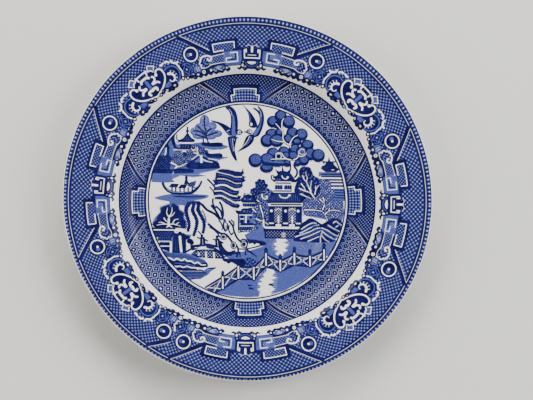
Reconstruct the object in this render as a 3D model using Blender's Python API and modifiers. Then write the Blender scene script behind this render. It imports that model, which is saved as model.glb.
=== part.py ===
"""A round china dinner plate, 10 inches across, built up in the layers that the real one is made of.

One jiggered clay body carries three underglaze prints, and two coats of clear glaze seal it: one over
the face, lip and back, and one over the base inside the foot ring. The foot ring's edge is left bare.
Frame: +Z up, the origin at the middle of the foot ring, on the surface that the plate stands on.
Every layer is a solid of revolution about +Z, and they share the same facets, so none cuts another.
"""

import math

import bpy
import numpy as np

MM = 0.001

# Driving dimensions, in millimetres.
PLATE_RADIUS = 127.0
PLATE_HEIGHT = 24.0
WELL_DEPTH = 16.6  # from the lip's plane down to the glazed floor of the well
WELL_RADIUS = 77.0  # where the flat floor ends and the cavetto begins
RIM_INNER_RADIUS = 96.0  # where the cavetto ends and the flat rim begins
RIM_RISE = 4.6  # from the shoulder to the lip
FLOOR_THICKNESS = 4.4
RIM_THICKNESS = 3.6
FOOT_RADIUS = 73.0  # middle of the foot ring's bearing edge
FOOT_EDGE_WIDTH = 2.4
FOOT_ROOT_WIDTH = 6.4
BARE_EDGE_HEIGHT = 0.9  # how far up the foot ring the wiped, unglazed clay shows

# The layers, as distances out from the clay's surface.
PRINT_BELOW, PRINT_ABOVE = 0.05, 0.15
GLAZE_BELOW, GLAZE_ABOVE = 0.20, 0.45

# The zones of the three prints, as radii.
SCENE_RADIUS = 68.6
INNER_BORDER = (69.0, 88.2)
RIM_BORDER = (91.0, 125.2)

# Facets.
TURNS = 60
WALL_STEPS = 6
RIM_STEPS = 2
LIP_STEPS = 3

# Heights that follow from the dimensions above, on the bare clay.
FACE_FLOOR = PLATE_HEIGHT - WELL_DEPTH - GLAZE_ABOVE
LIP_TOP = PLATE_HEIGHT - GLAZE_ABOVE
BACK_FLOOR = FACE_FLOOR - FLOOR_THICKNESS
CLAY_RADIUS = PLATE_RADIUS - GLAZE_ABOVE
LIP_RADIUS = RIM_THICKNESS / 2
BACK_SHIFT = 2.6  # the back's cavetto lies this much further out, which keeps the wall's thickness

CLAY_COLOUR = (0.80, 0.74, 0.64, 1)
GLAZE_COLOUR = (0.83, 0.82, 0.77, 1)
COBALT_COLOUR = (0.07, 0.12, 0.42, 1)


def smooth_step(t):
    """0 before 0 and 1 after 1, with level ends."""
    t = min(max(t, 0.0), 1.0)
    return t * t * (3 - 2 * t)


def rim_line(r):
    """Height of the rim's face, which slopes up evenly to the lip."""
    return LIP_TOP - RIM_RISE * (CLAY_RADIUS - r) / (CLAY_RADIUS - RIM_INNER_RADIUS)


def face_height(r):
    """Height of the clay's upper surface: the floor, then an S-shaped cavetto up to the rim."""
    climb = smooth_step((r - WELL_RADIUS) / (RIM_INNER_RADIUS - WELL_RADIUS))
    return FACE_FLOOR + (rim_line(r) - FACE_FLOOR) * climb


def back_height(r):
    """Height of the clay's underside, outside the foot ring."""
    start = WELL_RADIUS + BACK_SHIFT
    climb = smooth_step((r - start) / (RIM_INNER_RADIUS - WELL_RADIUS))
    return BACK_FLOOR + (rim_line(r) - RIM_THICKNESS - BACK_FLOOR) * climb


def face_points():
    """The face, from the axis out to where the lip begins."""
    wall = np.linspace(WELL_RADIUS, RIM_INNER_RADIUS, WALL_STEPS + 1)
    rim = np.linspace(RIM_INNER_RADIUS, CLAY_RADIUS - LIP_RADIUS, RIM_STEPS + 1)[1:]
    return [(r, face_height(r)) for r in (0.0, *wall, *rim)]


def lip_points():
    """The rounded lip, from just past the face's last point down to the back's first."""
    r_middle = CLAY_RADIUS - LIP_RADIUS
    z_middle = rim_line(r_middle) - LIP_RADIUS
    angles = np.linspace(math.pi / 2, -math.pi / 2, LIP_STEPS + 2)[1:-1]
    return [(r_middle + LIP_RADIUS * math.cos(a), z_middle + LIP_RADIUS * math.sin(a)) for a in angles]


def back_points():
    """The underside, from the lip in to just outside the foot ring."""
    wall_end = RIM_INNER_RADIUS + BACK_SHIFT
    rim = np.linspace(CLAY_RADIUS - LIP_RADIUS, wall_end, RIM_STEPS + 1)
    wall = np.linspace(wall_end, WELL_RADIUS + BACK_SHIFT, WALL_STEPS + 1)[1:]
    return [(r, back_height(r)) for r in (*rim, *wall)]


def foot_side(way):
    """One side of the foot ring, from its root to its bearing edge: way 1 is outside, -1 is inside."""
    edge = FOOT_RADIUS + way * FOOT_EDGE_WIDTH / 2
    root = FOOT_RADIUS + way * FOOT_ROOT_WIDTH / 2
    waist = (edge + way * 0.7, BACK_FLOOR - 1.3)
    return [(root, BACK_FLOOR), waist, (edge + way * 0.5, BARE_EDGE_HEIGHT), (edge, 0.0)]


def offset(points, distance):
    """The points moved to the left of the way they run, which is out of the clay."""
    points = np.array(points, float)
    along = np.gradient(points, axis=0)
    along /= np.linalg.norm(along, axis=1, keepdims=True)
    outward = np.stack([-along[:, 1], along[:, 0]], axis=1)
    moved = points + outward * distance
    moved[np.abs(points[:, 0]) < 1e-9, 0] = 0.0
    return [tuple(p) for p in moved]


def layer(points, below, above):
    """A skin's section: out along its upper side, and back along its lower side."""
    return offset(points, above) + offset(points, below)[::-1]


def cut(points, r_from, r_to):
    """The stretch of a line between two radii, cut across its straight facets."""
    radii, heights = np.array(points).T
    kept = [r_from, *radii[(radii > r_from + 0.2) & (radii < r_to - 0.2)], r_to]
    return [(r, float(np.interp(r, radii, heights))) for r in kept]


def glaze_material(name, colour, roughness):
    """A plain finish for one layer."""
    material = bpy.data.materials.new(name)
    material.use_nodes = True
    shader = material.node_tree.nodes["Principled BSDF"]
    shader.inputs["Base Color"].default_value = colour
    shader.inputs["Roughness"].default_value = roughness
    shader.inputs["Metallic"].default_value = 0.0
    return material


def turned(name, section, closed, material, collection):
    """A section in millimetres, turned about +Z into one solid."""
    mesh = bpy.data.meshes.new(name)
    count = len(section)
    edges = [(i, i + 1) for i in range(count - 1)]
    if closed:
        edges.append((count - 1, 0))
    mesh.from_pydata([(r * MM, 0, z * MM) for r, z in section], edges, [])
    mesh.materials.append(material)
    piece = bpy.data.objects.new(name, mesh)
    collection.objects.link(piece)
    screw = piece.modifiers.new("turn", "SCREW")
    screw.axis = "Z"
    screw.angle = 2 * math.pi
    screw.steps = screw.render_steps = TURNS
    screw.use_merge_vertices = True
    screw.merge_threshold = 0.00001
    screw.use_smooth_shade = True
    return piece


def build_clay_body(collection):
    """The fired clay: floor, cavetto, rim and foot ring in one piece."""
    section = face_points() + lip_points() + back_points()
    section += foot_side(1) + foot_side(-1)[::-1] + [(0.0, BACK_FLOOR)]
    material = glaze_material("biscuit_clay", CLAY_COLOUR, 0.8)
    turned("clay_body", section, False, material, collection)


def build_face_glaze(collection):
    """The coat over the face, the lip and the back, down to the bare edge of the foot ring."""
    run = face_points() + lip_points() + back_points() + foot_side(1)[:3]
    material = glaze_material("clear_glaze", GLAZE_COLOUR, 0.1)
    turned("face_glaze", layer(run, GLAZE_BELOW, GLAZE_ABOVE), False, material, collection)


def build_base_glaze(collection):
    """The coat over the base, inside the foot ring."""
    run = foot_side(-1)[2::-1] + [(0.0, BACK_FLOOR)]
    material = glaze_material("clear_glaze", GLAZE_COLOUR, 0.1)
    section = layer(run, GLAZE_BELOW, GLAZE_ABOVE)
    half = len(section) // 2
    turned("base_glaze", section[half:] + section[:half], False, material, collection)


def build_print(name, zone, collection):
    """One underglaze print: a film of cobalt colour on the clay, between two radii."""
    face = face_points() + lip_points()[:2]
    upper = cut(offset(face, PRINT_ABOVE), *zone)
    lower = cut(offset(face, PRINT_BELOW), *zone)
    material = glaze_material("cobalt_print", COBALT_COLOUR, 0.3)
    turned(name, upper + lower[::-1], zone[0] > 0, material, collection)


def main():
    for leftover in list(bpy.data.objects):
        bpy.data.objects.remove(leftover)
    collection = bpy.data.collections.new("china_dinner_plate")
    bpy.context.scene.collection.children.link(collection)
    build_clay_body(collection)
    build_face_glaze(collection)
    build_base_glaze(collection)
    build_print("scene_print", (0.0, SCENE_RADIUS), collection)
    build_print("inner_border_print", INNER_BORDER, collection)
    build_print("rim_border_print", RIM_BORDER, collection)


main()
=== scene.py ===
"""A blue-printed china dinner plate, 10 inches across, lying face up on a pale floor.

The plate is a jiggered clay body with a foot ring. Three engraved patterns were inked in cobalt, pulled on
tissue, laid on the biscuit and fired under a clear glaze: a landscape on the floor of the well, a border
round its wall and a border round the rim. Each print is a dense film just above the glaze, and carries
how far each of its points lies inside the dark ink and the pale ink, in millimetres.
Frame: +Z up, +Y towards the top of the landscape, metres. Artwork is drawn in millimetres.
"""

import math

import bmesh
import bpy
import numpy as np
from mathutils import Matrix, Vector


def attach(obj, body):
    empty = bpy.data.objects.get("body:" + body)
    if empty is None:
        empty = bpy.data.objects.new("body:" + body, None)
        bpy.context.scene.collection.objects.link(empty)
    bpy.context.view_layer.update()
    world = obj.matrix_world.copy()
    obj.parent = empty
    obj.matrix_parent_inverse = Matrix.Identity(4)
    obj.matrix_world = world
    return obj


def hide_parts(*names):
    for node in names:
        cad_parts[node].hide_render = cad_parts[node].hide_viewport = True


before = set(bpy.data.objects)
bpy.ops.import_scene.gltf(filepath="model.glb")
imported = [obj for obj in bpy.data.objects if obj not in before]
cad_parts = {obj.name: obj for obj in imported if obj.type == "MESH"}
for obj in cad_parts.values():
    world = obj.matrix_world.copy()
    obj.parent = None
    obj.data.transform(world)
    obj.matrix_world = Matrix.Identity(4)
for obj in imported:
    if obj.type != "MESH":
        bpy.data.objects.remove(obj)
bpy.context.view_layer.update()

MM = 0.001


# ---------------------------------------------------------------- floor, light and camera
# A pale matt floor under the plate, three large soft lights that only light it, two small ones that the
# glaze mirrors, and the camera nearly overhead, a little towards the scene's bottom and left.


def plain_material(name, colour, roughness):
    """A Principled material with constant values."""
    material = bpy.data.materials.new(name)
    material.use_nodes = True
    shader = material.node_tree.nodes["Principled BSDF"]
    shader.inputs["Base Color"].default_value = (*colour, 1)
    shader.inputs["Roughness"].default_value = roughness
    return material


def aim(item, target):
    """Turns a light or camera so that it looks at a point."""
    item.rotation_euler = (Vector(target) - item.location).to_track_quat("-Z", "Y").to_euler()


def soft_box(name, place, target, size, power, colour, mirrored=True):
    """A rectangular area light; size is its width and height in metres. The glaze shows no reflection
    of one that isn't mirrored."""
    light = bpy.data.lights.new(name, "AREA")
    light.shape = "RECTANGLE"
    light.size, light.size_y = size
    light.energy = power
    light.color = colour
    item = bpy.data.objects.new(name, light)
    bpy.context.scene.collection.objects.link(item)
    item.location = place
    item.visible_glossy = mirrored
    aim(item, target)


floor_mesh = bpy.data.meshes.new("floor")
floor_mesh.from_pydata([(-6, -6, 0), (6, -6, 0), (6, 6, 0), (-6, 6, 0)], [], [(0, 1, 2, 3)])
floor = bpy.data.objects.new("floor", floor_mesh)
floor_mesh.materials.append(plain_material("pale floor", (0.60, 0.59, 0.57), 0.9))
bpy.context.scene.collection.objects.link(floor)

soft_box("left fill", (-1.5, -0.2, 0.9), (0, 0, 0), (0.9, 1.8), 40, (1.0, 0.98, 0.94), mirrored=False)
soft_box("right fill", (1.4, 0.1, 1.0), (0, 0, 0), (0.9, 1.8), 44, (0.97, 0.98, 1.0), mirrored=False)
soft_box("far fill", (0.1, 2.3, 1.6), (0, 0, 0), (2.4, 1.2), 110, (1.0, 0.99, 0.96), mirrored=False)
soft_box("window", (1.3, 0.5, 1.0), (0, 0, 0), (0.9, 1.0), 5, (0.95, 0.98, 1.0))
soft_box("far window", (-1.0, 1.5, 1.3), (0, 0, 0), (0.8, 0.8), 5, (0.97, 0.98, 1.0))

world = bpy.data.worlds.new("studio")
world.use_nodes = True
world.node_tree.nodes["Background"].inputs["Color"].default_value = (0.92, 0.95, 1.0, 1)
world.node_tree.nodes["Background"].inputs["Strength"].default_value = 0.09
bpy.context.scene.world = world

CAMERA_DISTANCE = 2.2
CAMERA_BACK = math.radians(9.36)  # the view's lean from straight down, towards the landscape's bottom
CAMERA_LEFT = math.radians(3.25)
LIP_CENTRE = Vector((0, 0, 0.019))  # the point that the camera's two angles are measured at
AIM = Vector((0.0128, -0.0014, 0.019))  # beside it, so that the plate lies a little left of the middle

camera_data = bpy.data.cameras.new("camera")
camera_data.sensor_width = 36
camera_data.lens = 216.5
camera = bpy.data.objects.new("camera", camera_data)
bpy.context.scene.collection.objects.link(camera)
camera.location = CAMERA_DISTANCE * Vector((-math.sin(CAMERA_LEFT), -math.sin(CAMERA_BACK), 1)).normalized()
camera.location += LIP_CENTRE
backwards = (camera.location - AIM).normalized()
rightwards = Vector((0, 1, 0)).cross(backwards).normalized()
camera.rotation_euler = Matrix((rightwards, backwards.cross(rightwards), backwards)).transposed().to_euler()
bpy.context.scene.camera = camera


# ---------------------------------------------------------------- glazed plate
# White earthenware under a clear lead glaze with a faint warm cast: floor, cavetto, rim, rounded lip and
# back. The whole was dipped, so one coat runs over the face and the back down to the foot ring.

PLATE_RADIUS = 127.0
LIP_HEIGHT = 23.6
FLOOR_HEIGHT = 7.4
WELL_RADIUS = 77.0
RIM_INNER = 96.0
RIM_RISE = 4.6
BACK_FLOOR = 2.1
LIP_ROUND = 1.9
BACK_SHIFT = 2.6  # the back's wall lies this much further out than the face's
GLAZED_WHITE = (0.75, 0.73, 0.675)
GLAZE_GLOSS = 0.10


def smooth_step(t):
    """0 before 0, 1 after 1, with level ends: t^2 (3 - 2 t)."""
    t = np.clip(t, 0, 1)
    return t * t * (3 - 2 * t)


def face_height(r):
    """Height of the glazed face: a flat floor, an S-shaped wall, an even rise to the lip and its round."""
    rim = LIP_HEIGHT - RIM_RISE * (PLATE_RADIUS - r) / (PLATE_RADIUS - RIM_INNER)
    climb = smooth_step((r - WELL_RADIUS) / (RIM_INNER - WELL_RADIUS))
    over = np.clip(r - (PLATE_RADIUS - LIP_ROUND), 0, LIP_ROUND)
    return FLOOR_HEIGHT + (rim - FLOOR_HEIGHT) * climb - (LIP_ROUND - np.sqrt(LIP_ROUND**2 - over**2))


def back_height(r):
    """Height of the glazed underside: the face, moved out and down by the thickness of the wall."""
    thick = 2 * LIP_ROUND + 0.9 * smooth_step((PLATE_RADIUS - r) / 30)
    rim = LIP_HEIGHT - RIM_RISE * (PLATE_RADIUS - r) / (PLATE_RADIUS - RIM_INNER) - thick
    climb = smooth_step((r - WELL_RADIUS - BACK_SHIFT) / (RIM_INNER - WELL_RADIUS))
    return BACK_FLOOR + (rim - BACK_FLOOR) * climb


def grid_mesh(name, points, around=False):
    """A mesh from a grid of points in millimetres, (rows, columns, 3); around joins the last column to the
    first. Its faces look along (next row) x (next column)."""
    rows, columns = points.shape[:2]
    index = np.arange(rows * columns).reshape(rows, columns)
    if around:
        index = np.concatenate([index, index[:, :1]], axis=1)
    quads = np.stack([index[:-1, :-1], index[1:, :-1], index[1:, 1:], index[:-1, 1:]], axis=-1)
    quads = quads.reshape(-1, 4)
    mesh = bpy.data.meshes.new(name)
    mesh.vertices.add(rows * columns)
    mesh.vertices.foreach_set("co", (points * MM).ravel())
    mesh.loops.add(quads.size)
    mesh.loops.foreach_set("vertex_index", quads.ravel())
    mesh.polygons.add(len(quads))
    mesh.polygons.foreach_set("loop_start", np.arange(len(quads)) * 4)
    mesh.polygons.foreach_set("use_smooth", np.ones(len(quads), bool))
    mesh.update(calc_edges=True)
    mesh.validate()
    return mesh


def piece(name, mesh, material, node):
    """A finished piece: it stands for one CAD node and rides the plate."""
    item = bpy.data.objects.new(name, mesh)
    mesh.materials.append(material)
    bpy.context.scene.collection.objects.link(item)
    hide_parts(node)
    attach(item, "root")
    return item


def lathe(name, profile, material, node, turns=360):
    """A profile of (radius, height) turned about +Z: p(i, a) = (r_i cos a, r_i sin a, z_i). The profile
    starts and ends on the axis, or closes on itself, and runs down its outer side."""
    radii, heights = np.array(profile, float).T
    angles = np.arange(turns) * 2 * math.pi / turns
    x, y = np.outer(radii, np.cos(angles)), np.outer(radii, np.sin(angles))
    points = np.stack([x, y, np.outer(heights, np.ones(turns))], axis=-1)
    mesh = grid_mesh(name, points, around=True)
    work = bmesh.new()
    work.from_mesh(mesh)
    bmesh.ops.remove_doubles(work, verts=work.verts, dist=1e-6)
    work.to_mesh(mesh)
    work.free()
    for polygon in mesh.polygons:
        polygon.use_smooth = True
    return piece(name, mesh, material, node)


def rounded(middle, radius, start, end, count=9):
    """Points on an arc about middle, between two angles in degrees."""
    angles = np.radians(np.linspace(start, end, count))
    return list(zip(middle[0] + radius * np.cos(angles), middle[1] + radius * np.sin(angles)))


def outline(height, radii):
    """(radius, height) points of a height function."""
    return list(zip(radii, height(radii)))


clear_glaze = plain_material("clear glaze on white", GLAZED_WHITE, GLAZE_GLOSS)
lip_middle = (PLATE_RADIUS - LIP_ROUND, LIP_HEIGHT - LIP_ROUND)
face = outline(face_height, np.concatenate([[0, 30, 60], np.linspace(72, PLATE_RADIUS - 0.5, 100)]))
back = outline(back_height, np.linspace(PLATE_RADIUS - 2.4, 79.6, 60))
foot_outside = rounded((78.4, 1.0), 1.1, 90, 150, 5) + [(76.0, 0.9), (74.9, 0.8)]
lathe(
    "glazed_face_and_back",
    face + rounded(lip_middle, LIP_ROUND, 35, -75) + back + foot_outside
    + [(73.2, 1.6), (72.6, 4.0), (0, 4.0)],
    clear_glaze,
    "face_glaze",
)


# ---------------------------------------------------------------- glazed base
# The same coat over the flat base inside the foot ring, pooled a little where it meets the ring.

lathe(
    "glazed_base",
    [
        (0, 3.4), (72.0, 3.4), (72.2, 1.6), (71.3, 0.85), (70.8, 1.0), (70.4, 1.5), (69.6, 1.95),
        (68.4, 2.12), (0, 2.12),
    ],
    clear_glaze,
    "base_glaze",
)


# ---------------------------------------------------------------- clay body
# The fired clay shows only where the glaze was wiped off: the narrow, slightly rounded edge of the foot
# ring that the plate stands on. It is buff, dry and a little dusty from years of shelves.

lathe(
    "bare_foot_ring",
    [
        (71.0, 2.8), (75.2, 2.8), (75.1, 0.8), (74.7, 0.25), (74.2, 0.0), (71.8, 0.0), (71.3, 0.25),
        (71.0, 0.8), (71.0, 2.8),
    ],
    plain_material("biscuit clay", (0.55, 0.45, 0.33), 0.85),
    "clay_body",
)


# ---------------------------------------------------------------- rim border print
# A strip of transfer with one repeat printed four times: a key between two square frets, a spot in a ring,
# a shell scroll and half a medallion, each half the mirror of the other, on a ground of white dots. The
# strip was cut a little long, so its ends meet side by side at the lower left.

# Every print is drawn as an engraver's plate in two inks, pale and dark, on white. A shape is laid over
# what is there, so white shapes cut lines back out of the ink. Sizes and places are in millimetres.
WHITE, PALE, DARK = 0, 1, 2
REACH = 1.0  # how far from its edge a shape is still measured


def curve(points, closed=False, steps=5):
    """A Catmull-Rom curve: q(t) = (2b + (c-a)t + (2a-5b+4c-d)t^2 + (3b-a-3c+d)t^3) / 2 between b and c."""
    if closed:
        ring = np.concatenate([points[-1:], points, points[:2]])
    else:
        ring = np.concatenate([2 * points[:1] - points[1:2], points, 2 * points[-1:] - points[-2:-1]])
    a, b, c, d = ring[:-3], ring[1:-2], ring[2:-1], ring[3:]
    t = np.linspace(0, 1, steps + 1)[:-1, None, None]
    bends = 2 * b + (c - a) * t + (2 * a - 5 * b + 4 * c - d) * t**2 + (3 * b - a - 3 * c + d) * t**3
    dense = bends.transpose(1, 0, 2).reshape(-1, 2) / 2
    return dense if closed else np.concatenate([dense, points[-1:]])


def hatch(angle, pitch, width):
    """Parallel lines at an angle in degrees: width / 2 less the distance to the nearest line."""
    across = np.array([-math.sin(math.radians(angle)), math.cos(math.radians(angle))])

    def ink(x, y):
        place = (x * across[0] + y * across[1]) / pitch
        return width / 2 - np.abs(place - np.round(place)) * pitch

    return ink


def spots(pitch, radius, angle=45):
    """A square lattice of dots turned by an angle: radius less the distance to the nearest dot."""
    c, s = math.cos(math.radians(angle)), math.sin(math.radians(angle))

    def ink(x, y):
        a, b = (c * x + s * y) / pitch, (c * y - s * x) / pitch
        return radius - np.hypot(a - np.round(a), b - np.round(b)) * pitch

    return ink


def speckle(pitch, level):
    """Irregular flecks of about one pitch: three crossed waves, each bent by another, above a level."""

    def ink(x, y):
        u, v = x * 6.28 / pitch, y * 6.28 / pitch
        waves = np.sin(u + 1.7 * np.sin(0.53 * v)) + np.sin(0.8 * v + 1.9 * np.sin(0.61 * u + 1))
        return (waves + np.sin(0.7 * (u - v) + 2 * np.sin(0.37 * (u + v))) - level) * pitch / 8

    return ink


class Print:
    """An inked film. x and y place its points on the artwork; dark and pale say how far each point lies
    inside that ink, in millimetres, held between -REACH and REACH."""

    def __init__(self, x, y):
        self.shape = x.shape
        self.x, self.y = x.ravel(), y.ravel()
        self.dark = np.full(x.size, -REACH)
        self.pale = np.full(x.size, -REACH)

    def near(self, points, margin):
        """The film's points in the box round some points."""
        low, high = points.min(axis=0) - margin, points.max(axis=0) + margin
        across = (self.x > low[0]) & (self.x < high[0])
        return np.flatnonzero(across & (self.y > low[1]) & (self.y < high[1]))

    def lay(self, at, inside, tone, pattern=None):
        """Lays a tone where inside is above 0 and, with a pattern, where that is too."""
        if pattern is not None:
            inside = np.minimum(inside, pattern(self.x[at], self.y[at]))
        inside = np.clip(inside, -REACH, REACH)
        if tone == DARK:
            self.dark[at] = np.maximum(self.dark[at], inside)
            return
        self.dark[at] = np.minimum(self.dark[at], -inside)
        if tone == PALE:
            self.pale[at] = np.maximum(self.pale[at], inside)
        else:
            self.pale[at] = np.minimum(self.pale[at], -inside)

    def leafy(self, at, bite):
        """What a leafy edge adds: bite sin(4.4 x) sin(4.4 y + 1), in teeth 1.4 mm apart."""
        return bite * np.sin(self.x[at] * 4.4) * np.sin(self.y[at] * 4.4 + 1)

    def line(self, tone, width, *xy, bent=True, end=None, bite=0, pattern=None):
        """A stroke through points. Its width runs evenly from width to end along the stroke."""
        points = np.array(xy, float).reshape(-1, 2)
        if bent and len(points) > 2:
            points = curve(points)
        at = self.near(points, width / 2 + REACH)
        a, b = points[:-1], points[1:]
        step = b - a
        x, y = self.x[at, None] - a[:, 0], self.y[at, None] - a[:, 1]
        t = np.clip((x * step[:, 0] + y * step[:, 1]) / np.maximum((step**2).sum(axis=1), 1e-9), 0, 1)
        away = np.hypot(x - t * step[:, 0], y - t * step[:, 1])
        last = width if end is None else end
        half = (width + (last - width) * (np.arange(len(a)) + t) / len(a)) / 2
        self.lay(at, (half - away).max(axis=1) + self.leafy(at, bite), tone, pattern)

    def area(self, tone, *xy, bent=True, bite=0, pattern=None):
        """A closed shape through points; bite gives it a leafy edge of teeth that deep."""
        points = np.array(xy, float).reshape(-1, 2)
        if bent:
            points = curve(points, closed=True)
        at = self.near(points, REACH)
        a, b = points, np.roll(points, -1, axis=0)
        step = b - a
        x, y = self.x[at, None] - a[:, 0], self.y[at, None] - a[:, 1]
        t = np.clip((x * step[:, 0] + y * step[:, 1]) / np.maximum((step**2).sum(axis=1), 1e-9), 0, 1)
        away = np.hypot(x - t * step[:, 0], y - t * step[:, 1]).min(axis=1)
        rises = (a[:, 1] > self.y[at, None]) != (b[:, 1] > self.y[at, None])
        rise = np.where(step[:, 1] == 0, 1e-9, step[:, 1])
        crossing = a[:, 0] + (self.y[at, None] - a[:, 1]) * step[:, 0] / rise
        odd = (rises & (self.x[at, None] < crossing)).sum(axis=1) % 2 == 1
        self.lay(at, np.where(odd, away, -away) + self.leafy(at, bite), tone, pattern)

    def polygon(self, tone, *xy, bite=0, pattern=None):
        """A closed shape with straight sides."""
        self.area(tone, *xy, bent=False, bite=bite, pattern=pattern)

    def dotted(self, pitch, pale, white, *xy):
        """A straight-sided shape filled with a lattice of pale dots with white hearts."""
        self.polygon(PALE, *xy, pattern=spots(pitch, pale))
        self.polygon(WHITE, *xy, pattern=spots(pitch, white))

    def disc(self, tone, x, y, rx, ry=None, pattern=None):
        """A filled circle, or an ellipse with its axes along x and y."""
        ry = ry or rx
        at = self.near(np.array([[x - rx, y - ry], [x + rx, y + ry]]), REACH)
        out = np.hypot((self.x[at] - x) / rx, (self.y[at] - y) / ry)
        self.lay(at, (1 - out) * min(rx, ry), tone, pattern)

    def ring(self, tone, x, y, radius, width, pattern=None):
        """A circular line."""
        at = self.near(np.array([[x - radius, y - radius], [x + radius, y + radius]]), REACH)
        out = np.hypot(self.x[at] - x, self.y[at] - y)
        self.lay(at, width / 2 - np.abs(out - radius), tone, pattern)


def print_material():
    """Cobalt ink under the clear glaze: white, then the pale ink, then the dark ink, each with a soft edge
    that bled a little into the glaze, and a fine unevenness where the tissue pulled."""
    group = bpy.data.node_groups.new("cobalt print", "ShaderNodeTree")
    group.interface.new_socket("Colour", in_out="OUTPUT", socket_type="NodeSocketColor")
    group.interface.new_socket("Height", in_out="OUTPUT", socket_type="NodeSocketFloat")
    nodes, links = group.nodes, group.links
    leaving = nodes.new("NodeGroupOutput")
    place = nodes.new("ShaderNodeTexCoord").outputs["Object"]

    def noise(scale, detail):
        node = nodes.new("ShaderNodeTexNoise")
        node.inputs["Scale"].default_value = scale
        node.inputs["Detail"].default_value = detail
        links.new(place, node.inputs["Vector"])
        return node.outputs["Fac"]

    def spread(value, low, high, out_low, out_high):
        node = nodes.new("ShaderNodeMapRange")
        node.interpolation_type = "SMOOTHSTEP"
        node.inputs["From Min"].default_value, node.inputs["From Max"].default_value = low, high
        node.inputs["To Min"].default_value, node.inputs["To Max"].default_value = out_low, out_high
        links.new(value, node.inputs["Value"])
        return node.outputs["Result"]

    def mix(factor, first, second):
        node = nodes.new("ShaderNodeMix")
        node.data_type = "RGBA"
        links.new(factor, node.inputs["Factor"])
        for socket, value in ((6, first), (7, second)):
            if isinstance(value, tuple):
                node.inputs[socket].default_value = (*value, 1)
            else:
                links.new(value, node.inputs[socket])
        return node.outputs[2]

    def ink(attribute, bleed):
        node = nodes.new("ShaderNodeAttribute")
        node.attribute_name = attribute
        return spread(node.outputs["Fac"], -0.2 - bleed, 0.2 - bleed, 0, 1)

    patchy = spread(noise(140, 3), 0.3, 0.7, 0, 1)
    grain = spread(noise(1500, 1), 0.3, 0.7, 0, 1)
    pale_ink = mix(grain, (0.030, 0.044, 0.185), (0.068, 0.089, 0.282))
    dark_ink = mix(patchy, (0.0030, 0.0028, 0.036), (0.007, 0.0065, 0.074))
    glazed = mix(ink("pale", 0.08), GLAZED_WHITE, pale_ink)
    links.new(mix(ink("dark", 0.16), glazed, dark_ink), leaving.inputs["Colour"])
    links.new(noise(60, 2), leaving.inputs["Height"])

    material = plain_material("printed and glazed", GLAZED_WHITE, GLAZE_GLOSS)
    tree = material.node_tree
    shared = tree.nodes.new("ShaderNodeGroup")
    shared.node_tree = group
    bump = tree.nodes.new("ShaderNodeBump")
    bump.inputs["Strength"].default_value = 0.06
    bump.inputs["Distance"].default_value = 0.001
    shader = tree.nodes["Principled BSDF"]
    tree.links.new(shared.outputs["Colour"], shader.inputs["Base Color"])
    tree.links.new(shared.outputs["Height"], bump.inputs["Height"])
    tree.links.new(bump.outputs["Normal"], shader.inputs["Normal"])
    return material


printed = print_material()


FILM_ABOVE = 0.03
EDGE_DIP = 0.12


def film(name, x, y, dark, pale, node, within):
    """A print's film over the face: its points just above the glaze, and those that lie outside the two
    radii in within dipped under it. dark and pale are grids like x and y."""
    radius = np.hypot(x, y)
    height = face_height(radius) + FILM_ABOVE
    height[(radius < within[0]) | (radius > within[1])] -= EDGE_DIP
    mesh = grid_mesh(name, np.stack([x, y, height], axis=-1))
    for ink, values in (("dark", dark), ("pale", pale)):
        mesh.attributes.new(ink, "FLOAT", "POINT").data.foreach_set("value", values.ravel())
    return piece(name, mesh, printed, node)


# Half the repeat: x runs round from the middle of the key and y is the radius.
HALF = 79.8
rim_u, rim_v = np.meshgrid(np.linspace(0, HALF, 286), np.linspace(90.2, 125.9, 129))
rim = Print(rim_u, rim_v)

# The ground, with a scalloped inner edge, and its lattice of dots, coarser above the frets.
rim.polygon(
    DARK, -2, 121, 82, 121, 82, 94.5, 79.8, 93.6, 72, 95.3, 70, 93.6, 66, 92.6, 62, 92.4, 60, 94.4,
    56, 95, 52, 94, 49, 93, 45, 92.2, 41, 91.6, 38, 92.3, 34, 91.6, 30, 92.2, 25.5, 91, 21, 92.8,
    19, 93.8, 8, 93.8, 6, 92.6, -2, 92.2,
)
rim.dotted(1.85, 0.86, 0.26, 46, 121, 84, 121, 84, 96, 60, 95, 29, 97, 29, 104)
rim.dotted(2.0, 0.93, 0.28, -2, 121, 46, 121, 29, 104, 10, 104, -2, 104)

# The outer edging: a white line, and a dark band with a row of pale beads.
rim.polygon(DARK, -2, 121, 82, 121, 82, 125.4, -2, 125.4)
for bead in np.arange(0.7, HALF, 2.3):
    rim.disc(PALE, bead, 123.4, 0.92, 1.45)
    rim.disc(WHITE, bead, 123.4, 0.36, 0.45)
rim.line(DARK, 0.8, -2, 120.2, 82, 120.2)
rim.line(WHITE, 0.6, -2, 121.1, 82, 121.1)

# The slanting line that closes the fret's panel.
rim.line(DARK, 1.9, 46.9, 120.4, 38, 111.4, 29.5, 103.8)
rim.line(WHITE, 0.6, 45.5, 120.6, 37, 112, 29, 105.2)

# The spot in a ring.
spot = (43.1, 107)
rim.disc(DARK, *spot, 5.6)
rim.disc(WHITE, *spot, 5.1)
rim.disc(DARK, *spot, 4.0)
rim.disc(PALE, 44.8, 107.2, 1.5)
rim.disc(WHITE, *spot, 0.9)

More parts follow.
